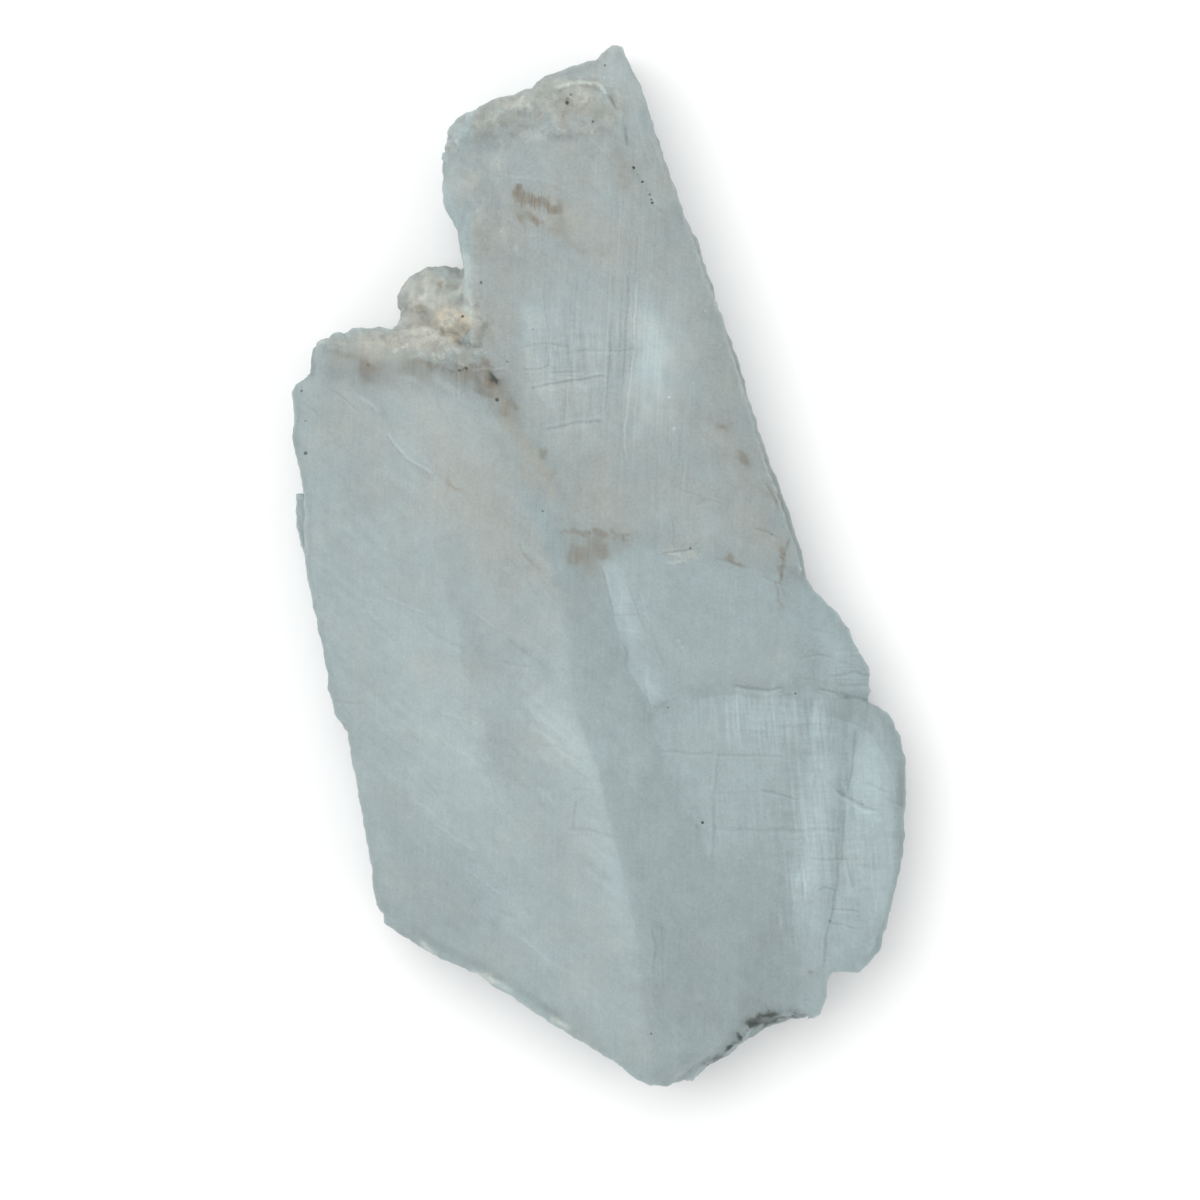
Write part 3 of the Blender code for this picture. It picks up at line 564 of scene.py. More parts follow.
# black and dark green dirt
dirtPatches = [
    (-15.2, 26.6, 0.9, 1, 20, 1), (-14.8, 25.8, 0.6, 0.9, 10, 0.7), (-16.6, 26.6, 2, 0.5, 5, 0.25),
    (-15.6, 22.1, 0.4, 0.8, 10, 0.35), (-19.1, 33.4, 0.4, 0.8, 15, 0.7), (-20.2, 31.8, 0.6, 0.8, 0, 0.3),
    # dark hollow of the foot
    (24.8, -65.2, 4, 2, 12, 0.42), (20.2, -67.4, 3.6, 1.5, 38, 0.42), (28.6, -65, 2.6, 1, 8, 0.3),
    (23.7, -64.6, 2.6, 0.7, 3, 0.75), (21.9, -65.9, 1.2, 0.9, 45, 0.7), (24, -66, 2.3, 1, 8, 0.6),
    (27.4, -65.2, 2, 0.9, 5, 0.6), (20.5, -67.6, 1.6, 0.6, 40, 0.7), (18.6, -69.1, 1.2, 0.6, 38, 0.95),
    (25.7, -66.2, 2.3, 0.4, 8, 0.45), (16.6, -70.8, 1.9, 0.7, 28, 0.85), (15.3, -71.2, 0.9, 0.6, 0, 0.4),
    (12.6, -73.1, 0.7, 0.4, 20, 0.5), (30, -65, 1.2, 0.6, 20, 0.3),
]
# tan places in the notch
tanPatches = [
    (-30.5, 31.8, 10.5, 1.4, -2, 0.22), (-21.4, 34.8, 3.2, 2.6, -60, 0.8), (-22.6, 36, 1, 0.7, 0, 0.4),
    (-19.8, 34.4, 0.7, 1.6, 10, 0.5), (-20.6, 32.2, 1.6, 1.2, -40, 0.5), (-25.5, 34, 2.2, 1.4, 10, 0.45),
    (-22, 36.6, 1.4, 0.9, 0, 0.3), (-19.9, 29.8, 1.2, 0.9, 0, 0.35), (-3.5, 64.5, 3.5, 2, 0, 0.22),
]
# cream and white places: crust, chips and bruises
palePatches = [
    # crust at the notch: cream lumps and the flap
    (-21.9, 36, 2.5, 1.6, -20, 0.45), (-21.4, 34.4, 2.2, 1.3, -30, 0.4), (-20.8, 41.4, 0.7, 0.6, 0, 0.6),
    (-20.5, 38.9, 0.4, 0.6, 0, 0.45), (-25.1, 40.6, 1.2, 0.8, 0, 0.42), (-25.4, 38.6, 1.4, 0.8, 0, 0.42),
    (-22.4, 40.2, 1, 0.8, 30, 0.35), (-24.4, 33.1, 1.7, 0.7, -12, 0.6), (-24, 32, 2, 0.9, -30, 0.55),
    (-25.4, 32.1, 1.4, 0.9, 0, 0.45), (-19.9, 30.7, 0.7, 0.6, 0, 0.55), (-21.4, 31.1, 0.9, 0.6, 0, 0.4),
    (-29.3, 30.7, 0.6, 0.4, 0, 0.5), (-27.9, 30.8, 0.4, 0.4, 0, 0.5), (-26.9, 32.3, 0.6, 0.4, 0, 0.45),
    (-23.8, 30.2, 0.6, 0.4, 0, 0.6), (-22.5, 29.7, 0.6, 0.3, 0, 0.5), (-28.2, 32.6, 2.9, 0.9, -5, 0.32),
    (-33.2, 32.4, 4.3, 0.9, 6, 0.3), (-37.2, 32.1, 2, 0.7, 12, 0.28), (-31, 31.4, 3.8, 0.6, -8, 0.25),
    (-18, 30.2, 1.2, 0.7, 0, 0.25), (-33.6, 22.9, 0.9, 0.4, -20, 0.22), (-18.3, 3, 0.9, 0.7, -50, 0.35),
    (-1.6, -7, 0.6, 0.3, 0, 0.22),
    # blade top
    (-1.4, 68.8, 1.9, 0.4, -8, 0.55), (0.3, 68.2, 0.9, 0.4, -45, 0.5), (-2.9, 66.5, 4.9, 1.7, -4, 0.18),
    (-7.9, 66, 2.9, 1.3, 10, 0.22), (-11.9, 65.8, 2.4, 1.4, 5, 0.6), (-14.3, 65.9, 1.8, 0.7, 15, 0.4),
    (-14.4, 57.6, 1.8, 1.2, 20, 0.35), (-18.2, 61.4, 1.6, 1.6, 0, 0.3), (-15.8, 64, 1, 0.7, 0, 0.45),
    (-6, 62.6, 1, 1.2, -40, 0.35), (1.6, 63.4, 1.2, 1, 0, 0.3), (-1.2, 62, 0.7, 0.4, 30, 0.5),
    (-0.4, 62.7, 0.4, 0.4, 0, 0.35), (-5.5, 62.6, 0.7, 0.6, -50, 0.3), (-20.5, 60.7, 0.4, 0.3, -30, 0.6),
    (-9.7, 60.4, 0.7, 0.3, -20, 0.35), (-17.5, 50.7, 0.4, 0.4, 0, 0.45), (-12, 45.5, 0.7, 0.6, 0, 0.35),
    (-17.6, 46, 0.4, 0.6, 0, 0.35), (0.6, 69.7, 0.3, 0.3, 0, 0.35),
    # chips
    (10.4, 2.1, 1, 0.4, 10, 0.6), (11.8, 1.4, 1.2, 0.4, -20, 0.8), (13.4, 1.4, 0.9, 0.4, -10, 0.7),
    (9.5, 0.6, 0.7, 0.4, 0, 0.6), (11, 0.6, 1.3, 0.3, 5, 0.4), (-24.5, -54.6, 2, 0.6, -35, 0.8),
    (-15.8, -59, 2.8, 0.6, -31, 0.8), (-5.5, -65.2, 1.4, 0.5, -35, 0.7),
]
ridgePatches = [(3.4, 34, 26, 6.5, 87, 1), (-5, 30, 14, 6, 90, 0.9), (10, 24, 26, 6, 80, 0.4)]

weavePatches = [
    (-4, 29, 8, 9, 0, 0.9), (24.5, -22.6, 12, 5, 0, 1), (29.5, -38, 20, 4, 84, 1),
    (38, -39, 18, 7, 84, 0.8), (20, -34, 10, 9, 0, 0.4),
]

# soft lines: half width, amount, then the points they pass through
softLines = [
    (0.5, -0.06, (-28.6, 15.6), (-26.4, 13.6), (-24.5, 12.6)),
    (0.8, -0.07, (-12.6, -10.9), (-9.4, -13.2), (-7.3, -15.2)),
    (0.5, -0.1, (-27.7, -51.3), (-23.1, -54.4), (-17.3, -57.2), (-11.5, -60.6), (-5.8, -64.2)),
    (0.4, 0.2, (-25.3, -54.2), (-23.5, -55.5)), (0.4, 0.22, (-18.3, -58.3), (-15.9, -59.3), (-13, -60.9)),
    (0.4, 0.2, (-6.8, -64.7), (-4.5, -66.2)), (0.4, 0.12, (1.7, -71), (3.8, -72.5)),
    (0.7, -0.09, (-7.4, 70), (-3.6, 71.2), (-0.4, 71.6)), (0.5, 0.08, (-7.4, 19.3), (-1.2, 19.9)),
    (0.7, 0.18, (-19.2, 43.8), (-19.2, 39.8), (-18.9, 35.5)), (0.6, 0.07, (-8.7, 25), (-1.2, 26.1)),
    (0.5, 0.08, (30.7, -19.8), (30.7, -24), (30.4, -28), (29.9, -32)),
    (0.8, -0.06, (30, -32.2), (34.5, -32.5)),
    # painted shade along the side lobe's right edge
    (0.7, -0.1, (43.2, -30), (43.4, -36), (42.6, -44), (41.4, -51), (39.6, -55.6)),
    (0.4, 0.1, (-29.6, 27), (-26.5, 26.4)), (0.4, 0.1, (-23.5, 26.6), (-20.6, 24.8)),
]
stainLines = [
    (0.5, 0.22, (-6.8, 48.2), (-4.9, 46.6), (-3, 45.4), (-1.4, 45), (0.9, 44.6)),
    (0.4, 0.18, (1, 45.6), (4, 46.4)),
    (0.35, 0.3, (-4.6, 4.6), (-3.4, 5.4), (-1.2, 4.6), (1.6, 4.3), (4.4, 4)),
    (0.4, 0.34, (26.9, 3.2), (26.3, 0.8), (25.8, -2.7), (25.4, -5), (26.3, -6.7)),
]
paleLines = [(0.4, 0.55, (-26.6, 33.3), (-25.4, 33.7), (-24.4, 34), (-23.4, 33), (-22.4, 31.8))]
# fine lines that run mostly across the slab
cracks = [
    (0.2, -0.12, (-11.4, 2.6), (-10.6, 1), (-8.6, -0.6)),
    (0.18, -0.2, (-10.7, 27.9), (-8.8, 28), (-7.4, 28.6)),
    (0.22, -0.27, (0, 27), (-3, 26.5), (-6, 26), (-9.3, 25.3)), (0.2, -0.18, (-3.4, 27.8), (-6.8, 27.6)),
    (0.26, -0.22, (-0.5, 20.5), (-3, 20.3), (-7.3, 19.6)), (0.2, -0.16, (-3, 30.8), (0, 30.7), (4.2, 30.8)),
    (0.2, -0.14, (-10.4, 31.2), (-8, 31.6), (-5.6, 31.4)),
    (0.2, -0.12, (12, 10.8), (13.5, 10.3), (14.4, 10)), (0.24, -0.1, (14.3, 9), (15.4, 9.4), (17, 8.9)),
    (0.2, -0.26, (9.2, 1.8), (10.2, 2.1), (12, 2.1), (13, 2.3)), (0.18, -0.12, (13, 2.5), (14.2, 3.4)),
    (0.25, 0.14, (9.6, 0.5), (12.2, 0.5)), (0.2, -0.14, (23.6, -1.6), (24.8, -2.2), (26, -2.6)),
    (0.24, -0.28, (19.8, -17.3), (22, -17.7), (24, -17.9), (25.6, -17.4)),
    (0.2, -0.24, (31.9, -17.8), (33.6, -18.1)), (0.24, -0.18, (34.5, -19), (36.5, -18.9), (38, -19.5)),
    (0.2, -0.15, (26, -18.7), (27.2, -18.5)), (0.24, -0.2, (33.6, -15.7), (36.5, -15.2), (38.4, -15.7)),
    (0.24, -0.14, (34.8, -13.9), (36.2, -14.3)), (0.22, -0.16, (29.4, -13), (31.4, -12.7), (33, -13.1)),
    (0.22, 0.14, (34.2, -12.9), (37, -12.6)), (0.22, -0.12, (30.6, -9.2), (33.4, -9.6)),
    (0.2, -0.12, (17.3, 0.9), (18.6, 0.5), (20, 0), (21.2, -0.2)),
    (0.22, -0.18, (22.6, 5.3), (23.8, 4.9), (25, 4.2)), (0.2, -0.12, (29.6, -16.4), (31, -16.6)),
    (0.24, -0.15, (34.4, -17), (38.2, -17)),
    (0.24, -0.13, (9, -26.5), (12, -26.8), (15, -26.8), (16.5, -27.1), (22, -27.1), (26, -27.3)),
    (0.22, -0.2, (23.4, -32.4), (25.5, -32.8), (27.6, -33.2)), (0.28, -0.08, (16.8, -32.6), (22, -32.5)),
    (0.28, -0.3, (34.3, -32.5), (35.5, -33.2), (36.5, -33.7), (38, -34.7), (39.2, -35.1)),
    (0.24, -0.17, (38.5, -31.4), (40.2, -32), (41.8, -32.7)), (0.24, -0.14, (41.3, -33.5), (43, -34.3)),
    (0.28, -0.13, (16.8, -37.6), (20, -37.9), (25.5, -37.8), (28, -38), (31, -37.7), (33.4, -38)),
    (0.2, -0.18, (30.5, -41.9), (33, -42), (35, -42.1)),
    (0.2, -0.18, (31.6, -46.6), (32.2, -46.3), (33.4, -46.5)),
    (0.18, -0.2, (33.5, -49.1), (34.8, -49.4), (36.6, -49.7)),
    (0.18, -0.2, (33.4, -51.2), (34.8, -51.4), (36.2, -51.8)),
    (0.24, -0.1, (37.2, -43), (39.5, -43.4), (41.5, -43.2)), (0.24, -0.07, (26.8, -50.1), (30, -50)),
    (0.2, 0.12, (-30, -4.8), (-28.6, -5.4), (-27, -6.2), (-25.8, -6.6)),
    (0.2, 0.09, (-22.6, -20.9), (-21, -21.6), (-19.2, -22.2)),
    (0.24, 0.08, (-22.4, -25), (-20.6, -26.2), (-19, -27)), (0.2, 0.08, (-26, -34), (-24.4, -35)),
    (0.24, 0.09, (-23, -37.2), (-20.6, -39), (-18, -40.6)), (0.2, 0.08, (-19, -43.6), (-14.6, -46.6)),
    (0.2, 0.08, (-10.6, -53.6), (-6.6, -57)), (0.2, -0.07, (-16, -48.6), (-12.6, -50.2)),
    (0.2, -0.11, (-8, -25.5), (-6, -25.9), (-4.7, -26.9), (-3.2, -27.6), (-1.6, -28.8)),
    (0.24, -0.1, (-12.6, -10.9), (-10.8, -12.2), (-9.4, -13.2), (-8.2, -14.4)),
    (0.24, -0.1, (-13.6, -13.7), (-11.5, -14.2), (-10, -14.4)),
    (0.24, -0.13, (-3.9, -37.6), (-2, -37.7), (-0.5, -38.1), (1.4, -38.6)),
    (0.2, -0.09, (-3.6, -32), (-1.4, -32.1)), (0.2, 0.1, (-18, -6.8), (-16.6, -7.8), (-15.6, -8.6)),
    (0.24, -0.08, (-24.4, -9), (-22, -10.6), (-20.2, -11.6)),
    (0.18, -0.16, (-38.1, 24.8), (-37.2, 24.2), (-36.2, 23.4), (-34.8, 22.3)),
    (0.3, 0.16, (-34, 23.8), (-33.2, 23.4), (-32.2, 22.4)),
    (0.22, 0.24, (-30, 18.4), (-29, 17.1), (-27.8, 15.4), (-26.6, 14.6), (-24.6, 13.5)),
    (0.2, -0.08, (-42.2, 23), (-40.8, 22)), (0.2, 0.22, (-17.6, 27.9), (-14.2, 28)),
    (0.22, -0.12, (-37.4, -19.3), (-34.4, -19.6)),
    (0.3, 0.4, (-5.6, 68.6), (-4, 69), (-2.8, 69.2), (-1.2, 69.1), (-0.2, 68.8), (0.7, 67.9)),
    (0.22, 0.08, (-12.6, 55.6), (-9.8, 55.4), (-7.2, 54.8), (-5.4, 54)),
    (0.2, -0.12, (7.6, 51.6), (8.8, 50.6)), (0.2, -0.14, (2.3, -7.1), (5, -7)),
    (0.2, -0.1, (3.2, -5.6), (4.6, -5.6)), (0.2, 0.1, (3, -9.1), (5.6, -9.4)),
]
# fine lines that run mostly along it
threads = [
    (0.22, -0.14, (7.4, -52.2), (7.9, -54.6), (7.6, -57.8)), (0.2, -0.12, (8.9, -52), (8.9, -54.4)),
    (0.2, -0.14, (27.1, 3.8), (26.8, 2.4), (26.2, 0.6), (26.3, -0.8), (25.9, -2.4), (26.4, -4.2)),
    (0.2, -0.22, (24, 11.2), (24.6, 10.2), (25.2, 8.6)), (0.16, -0.22, (-11, 53.2), (-11.1, 51.6)),
    (0.16, -0.22, (-9.8, 53), (-9.9, 51.4)), (0.16, -0.22, (-8.6, 52.6), (-8.7, 51)),
    (0.16, -0.22, (-7.4, 52.3), (-7.5, 50.6)),
    (0.15, -0.13, (-7.9, 38.5), (-7.8, 36), (-7.4, 33), (-7.2, 31), (-7.3, 29.2)),
    (0.15, 0.12, (-6.2, 32), (-6.6, 29.2)),
    (0.14, -0.17, (0.7, 22.5), (0.9, 25), (1.2, 28), (1.5, 30.6), (1.7, 34.4)),
    (0.14, 0.12, (2.5, 27), (2.6, 30), (2.7, 34.2)), (0.15, 0.1, (-0.8, 24.2), (-0.4, 27), (-1, 30)),
    (0.15, -0.1, (-1.6, 22), (-1.2, 26)), (0.16, -0.12, (-5.2, 21), (-4.9, 24.8)),
    (0.16, 0.22, (5.3, 40), (5.2, 37), (5, 33), (4.8, 30.5), (4.5, 28), (4.3, 25.5), (4, 22.5), (3.7, 20),
        (3.6, 15.8)), (0.15, -0.12, (3.4, 43), (3.9, 41), (4.1, 38.5), (3.8, 34), (3.5, 30), (3.2, 26)),
    (0.14, -0.07, (7.3, 39.5), (7, 36), (6.8, 32)), (0.14, 0.08, (6.2, 29), (6.3, 34)),
    (0.16, 0.08, (5.3, 50), (5.5, 46), (5.4, 42)), (0.16, 0.1, (12, 15.6), (11.9, 12.6), (11.8, 10.9)),
    (0.14, -0.14, (11.3, 18.2), (11.3, 15.5)), (0.14, -0.1, (10.2, 17.8), (10.1, 15.4)),
    (0.14, -0.08, (8.7, 18.4), (8.7, 16.2)), (0.16, -0.15, (10.4, 5.8), (10.7, 4.6), (10.6, 3.6)),
    (0.2, 0.14, (0.9, -1.4), (1.4, -3.6), (2, -6)),
    (0.2, -0.13, (4.2, -3.4), (4.9, -5.2), (5.8, -7.6), (6.8, -9.6)),
    (0.2, 0.12, (6, -4.6), (6.4, -6.4), (6.9, -7.6)), (0.2, 0.12, (3, -4), (3, -6.6)),
    (0.24, 0.12, (6.6, -16), (6.9, -18.8)), (0.2, -0.09, (7.5, -9), (8, -11.4), (9, -14)),
    (0.24, 0.08, (8.6, -19.8), (9.4, -19.2), (10.8, -18.6)),
    (0.24, -0.12, (16.9, -27.2), (16.7, -30), (16.3, -33), (16.4, -38), (16.1, -41.6)),
    (0.2, 0.1, (14.4, -19.4), (14.4, -22.4)), (0.2, 0.1, (16, -19), (16, -21.4)),
    (0.2, 0.12, (18.2, -19.2), (18.3, -23.4)), (0.22, 0.15, (19.7, -19), (19.6, -23.8)),
    (0.2, 0.12, (21.4, -19.2), (21.4, -22.6)), (0.2, 0.09, (22.9, -20), (22.8, -25.4)),
    (0.2, 0.08, (24.4, -19.6), (24.2, -24)), (0.2, -0.08, (26.6, -20.4), (26.4, -25.6)),
    (0.3, 0.15, (30.7, -19.8), (30.6, -22.4)),
    (0.2, -0.1, (31.7, -20.4), (31.5, -24), (31.2, -28), (30.6, -31.4)),
    (0.2, 0.12, (33.4, -23.2), (33.2, -25)),
    (0.24, -0.18, (36.6, -24), (36.4, -27), (36.1, -29.6), (35.7, -32.2)),
    (0.3, 0.1, (35.8, -23), (35.5, -26.6)), (0.3, 0.14, (35, -29.4), (34.9, -31.6)),
    (0.22, -0.16, (35.3, -34.6), (35, -38), (34.8, -41.6)),
    (0.24, -0.16, (34.2, -43), (33.9, -45.6), (33.6, -47.6), (33.2, -50.6), (32.6, -53), (32.1, -57)),
    (0.24, 0.11, (34.1, -35.4), (33.7, -38.6), (33.4, -41.4)),
    (0.2, -0.2, (35.6, -42.6), (35.8, -44), (36.2, -45.6)), (0.22, 0.1, (28.8, -43.2), (28.4, -46)),
    (0.2, 0.1, (30, -43.2), (29.7, -45.6)), (0.18, 0.1, (30.8, -43.4), (30.6, -45.8)),
    (0.2, 0.08, (32.9, -43.2), (32.8, -45.8)), (0.2, 0.08, (28, -47.4), (27.6, -50.2)),
    (0.2, 0.07, (29.4, -47.6), (29.1, -50)), (0.18, -0.09, (32, -38.6), (31.8, -41.6)),
    (0.2, 0.08, (30.6, -38.6), (30.4, -41.6)), (0.2, 0.08, (38, -39), (37.8, -42)),
    (0.2, -0.08, (39.3, -39), (39.2, -42.4)), (0.2, -0.09, (36.9, -47.6), (37, -49.8)),
    (0.2, 0.09, (39.6, -47.6), (39.4, -50)),
    (0.22, 0.17, (-43, 7.2), (-42.7, 5.5), (-42.3, 4), (-41.9, 2.4)),
    (0.2, -0.1, (-40, -26), (-39.4, -30.6)), (0.2, 0.16, (-20, 28.8), (-20.1, 26.4), (-20.1, 24.2)),
    (0.2, -0.12, (-3.6, -34.2), (-3.7, -36.8)), (0.2, 0.08, (-32, -18.4), (-31.9, -22.2)),
    (0.2, -0.09, (-15.6, -30.6), (-15.2, -32)), (0.2, -0.1, (-24.6, -31.2), (-23.4, -32.6)),
    (0.16, -0.14, (-19.8, 43.8), (-19.8, 38)), (0.25, 0.1, (-40.8, 31.4), (-40.7, 28.6)),
    (0.2, 0.08, (7.6, 61), (9.4, 55)), (0.22, 0.08, (4.4, 68), (5.6, 63), (7, 58)),
    (0.2, -0.08, (8.9, -56.4), (9.2, -60.6)),
]
# steps of tone: how far they reach, the amount left of the line, then the line's points
edges = [
    # the first two steps, lighter on the leaf's side of its ridge, are painted light and shade of the leaf
    # and its flank
    (5, 0.07, (5.4, -54), (2.6, -41.5), (1.6, -37.5), (0.3, -31), (-1.2, -27), (-2.8, -22.5), (-3.7, -20)),
    (4, 0.04, (-4, -17), (-4.6, -13), (-5.3, -8)),
    (4, 0.15, (0.4, -0.6), (0.9, -3), (1.6, -5.5), (2.2, -8), (2.9, -10.5), (3.6, -13), (4.3, -15),
        (5.6, -17.5), (7, -19.6)), (4, 0.06, (7.4, -23), (8.3, -25.8), (9.2, -28.2), (10.4, -30.6)),
    (5, -0.09, (-23.8, 3), (-23, 0.6), (-22.4, -2), (-21.5, -6), (-20.3, -9.5), (-20, -12), (-19.8, -15),
        (-18.4, -17.3)), (5, -0.07, (-16.5, -23.5), (-15.8, -27.5), (-13.5, -30.5)),
    (5, 0.04, (-24.4, 4.4), (-26, 7.6), (-27.5, 9.2), (-30.2, 9.4)),
    (5, 0.09, (-10.4, -20), (-9.2, -22), (-8.2, -24.5), (-8.8, -27)),
    (4.5, 0.12, (-11.2, 36.6), (-11.2, 34), (-11.1, 32), (-10.9, 30.5), (-10.7, 28.2), (-10.1, 26.8),
        (-9.5, 25.5), (-8.9, 24.2), (-7.8, 22.6)),
    (4, 0.05, (5, 38), (4.8, 31), (4.3, 25.5), (3.7, 20), (3.6, 15.8)),
    (3.5, -0.07, (26.2, -54), (26.9, -50), (27.5, -46), (28, -38), (29.1, -31.4), (29.8, -25), (30, -19.8)),
    (4, -0.08, (33.2, -50.4), (34.2, -46), (34.9, -42), (35.2, -38), (35.6, -34.4)),
    (4, -0.1, (36, -31.6), (36.5, -29), (36.9, -26), (37.1, -24.4)),
    # painted shade along the side lobe's right edge and its bevel
    (6, -0.16, (33.5, -21.8), (36.3, -22.7), (37.9, -23.7), (39, -24.6), (39.9, -26), (41.2, -28.2),
        (42.2, -30.6), (42.7, -34)),
    (5, 0.06, (0.8, 67.4), (2.2, 64.6), (3.6, 61.6), (4.2, 58.5), (5, 56.4), (6.4, 54.2), (7.6, 51.6)),
    (3.5, -0.08, (13.6, -19.2), (16, -18.8), (20, -18.7), (24, -19.1), (28.4, -19.4)),
    (3, 0.07, (-7.2, 63.2), (-6, 61.9), (-4.6, 61.5), (-2.2, 61.7), (0.2, 62.6), (1.8, 62.4)),
    (3, 0.06, (-18.6, 57.2), (-15.8, 57), (-13.6, 57.6), (-11.6, 60.2), (-9, 60.4)),
    (4, 0.08, (-39.6, 31.6), (-36, 31.4), (-33, 30.6), (-30, 30.2), (-26, 30), (-22.4, 29.4)),
    (2.5, 0.05, (1.5, 53), (1.4, 59)),
]
# dark (+) and white (-) dots: x, y, radius, amount
dots = [
    (9.9, 24, 0.2, -1.2), (10.6, 19.5, 0.24, -1), (-20.5, 60.6, 0.3, -0.9), (0.6, 69.7, 0.18, -0.8),
    (-12, 45.4, 0.4, -0.35), (-17.5, 50.7, 0.26, -0.5), (-14.1, 47.7, 0.2, -0.5), (11.3, -10.8, 0.24, -0.5),
    (-13.2, -0.6, 0.4, -0.25), (-6.3, 34.6, 0.5, -0.3), (15.1, 36.4, 0.2, -0.6), (-23.8, 30.2, 0.24, -0.7),
    (-22.4, 29.6, 0.24, -0.6), (-29.3, 30.6, 0.3, -0.5), (0.7, 71.5, 0.14, 0.7), (-4.7, 66.1, 0.24, 0.8),
    (-4.2, 67.3, 0.16, 0.5), (-1, 63.4, 0.14, 0.7), (4.8, 56.8, 0.22, 1), (6.1, 54.8, 0.18, 1),
    (7.1, 53, 0.16, 0.7), (7.5, 51.8, 0.18, 0.9), (-17, 40.4, 0.22, 0.7), (-13.3, 29.1, 0.14, 0.5),
    (-14.7, 23.6, 0.28, 0.9), (-9.6, 33.7, 0.12, 0.5), (14.7, -36.9, 0.2, 1.1), (28, -18.4, 0.14, 0.8),
    (-8.2, 7.7, 0.15, 0.7), (-42.7, 24.9, 0.2, 0.6), (-42.1, 16, 0.24, 0.8), (-42.1, 20.6, 0.16, 0.4),
    (-20.1, 27.8, 0.2, 0.6), (-19.1, 28.1, 0.24, 0.5), (-19.7, 35.6, 0.18, 0.8), (12.9, 2.4, 0.16, 0.7),
    (7.3, -66.9, 0.18, 0.6), (33, -51, 0.18, 0.4), (9.7, -20.4, 0.18, 0.4), (-33.2, 28.6, 0.18, 0.3),
    (24.6, 4.4, 0.18, 0.3),
]


# the ledges, chips, grit and lumps of the surface, under the names of the tree's inputs
skin = {
    "Wave Size": 22.0, "Wave Height": 0.30,
    "Ledge Length": 11.0, "Ledge Thickness": 0.9, "Ledge Height": 0.7,
    "Chip Size": 1.7, "Chip Height": 0.95,
    "Grit Size": 1.5, "Grit Height": 0.16, "Front Grit": 0.10, "Crust Grit": 3.0,
    "Lump Size": 1.7, "Lump Height": 0.22, "Lump Level": 0.45, "Lump Softness": 0.35,
    "Wall From": 0.35, "Wall To": 0.8,      # a face counts as wall by how little it looks up
    "Back From": 0.1, "Back To": 1.2,       # the flat back stays flat up to here
}


def newTree(name, sockets):
    # a geometry tree with these named inputs; gives the tree, its inputs as wires and their identifiers
    tree = bpy.data.node_groups.new(name, "GeometryNodeTree")
    tree.interface.new_socket("Geometry", in_out="INPUT", socket_type="NodeSocketGeometry")
    tree.interface.new_socket("Geometry", in_out="OUTPUT", socket_type="NodeSocketGeometry")
    keys = {}
    for label in sockets:
        made = tree.interface.new_socket(label, in_out="INPUT", socket_type="NodeSocketFloat")
        keys[label] = made.identifier
    entry = tree.nodes.new("NodeGroupInput")
    wires = {socket.name: Wire(tree, socket) for socket in entry.outputs if socket.name}
    return tree, wires, keys


def closeTree(tree, geometry, material):
    # Realize Instances and Set Material end every tree
    real = geometry.node("GeometryNodeRealizeInstances", {}, {"Geometry": geometry})
    done = real.node("GeometryNodeSetMaterial", {}, {"Geometry": real, "Material": material})
    leaving = tree.nodes.new("NodeGroupOutput")
    tree.links.new(done.socket, leaving.inputs[0])


def runTree(obj, tree, keys, values):
    modifier = obj.modifiers.new(tree.name, "NODES")
    modifier.node_group = tree
    for label, key in keys.items():
        modifier[key] = values[label]
    return baked(obj)


def skinTree(material):
    tree, given, keys = newTree("slab_skin", skin)
    start = Wire(tree)
    place = start.node("GeometryNodeInputPosition").scaled(1 / mm)
    normal = start.node("GeometryNodeInputNormal")
    crust = start.node("GeometryNodeInputNamedAttribute", {"data_type": "FLOAT"}, {"Name": "crust"})
    wall = 1 - abs(normal.part(2)).between(given["Wall From"], given["Wall To"])
    clear = place.part(2).between(given["Back From"], given["Back To"])

    def bumps(size, thickness, detail):
        scale = start.node("ShaderNodeCombineXYZ", {}, {0: size, 1: size, 2: thickness})
        shrunk = start.node("ShaderNodeVectorMath", {"operation": "DIVIDE"}, {0: place, 1: scale})
        bumpy = start.node("ShaderNodeTexNoise", {}, {"Vector": shrunk, "Scale": 1.0, "Detail": detail})
        return bumpy - 0.5

    wave = bumps(given["Wave Size"], given["Wave Size"], 2.0) * given["Wave Height"] * (1 - wall)
    ledge = bumps(given["Ledge Length"], given["Ledge Thickness"], 3.0) * given["Ledge Height"] * wall
    chip = bumps(given["Chip Size"], given["Ledge Length"], 3.0) * given["Chip Height"] * wall
    gritShare = given["Front Grit"] + wall + given["Crust Grit"] * crust
    grit = bumps(given["Grit Size"], given["Grit Size"], 3.0) * given["Grit Height"] * gritShare
    cell = start.node("ShaderNodeTexVoronoi", {"feature": "SMOOTH_F1"}, {
        "Vector": place, "Scale": 1.0 / given["Lump Size"], "Detail": 1.0,
        "Smoothness": given["Lump Softness"],
    })
    lump = (given["Lump Level"] - cell) * given["Lump Height"] * crust
    height = (wave + ledge + chip + grit + lump) * clear * mm
    moved = start.node(
        "GeometryNodeSetPosition", {},
        {"Geometry": given["Geometry"], "Offset": normal.scaled(height)},
    )
    soft = moved.node("GeometryNodeSetShadeSmooth", {}, {0: moved, "Shade Smooth": True})
    closeTree(tree, soft, material)
    return tree, keys


def withoutBack(mesh):
    # the flat back's small cells joined into plain faces
    level = slab["backLevel"] * mm
    shaper = bmesh.new()
    shaper.from_mesh(mesh)
    back = [
        face for face in shaper.faces
        if face.normal.z < slab["backTurn"] and face.calc_center_median().z < level
    ]
    bmesh.ops.dissolve_faces(shaper, faces=back)
    bmesh.ops.triangulate(shaper, faces=[face for face in shaper.faces if len(face.verts) > 4])
    shaper.to_mesh(mesh)
    shaper.free()


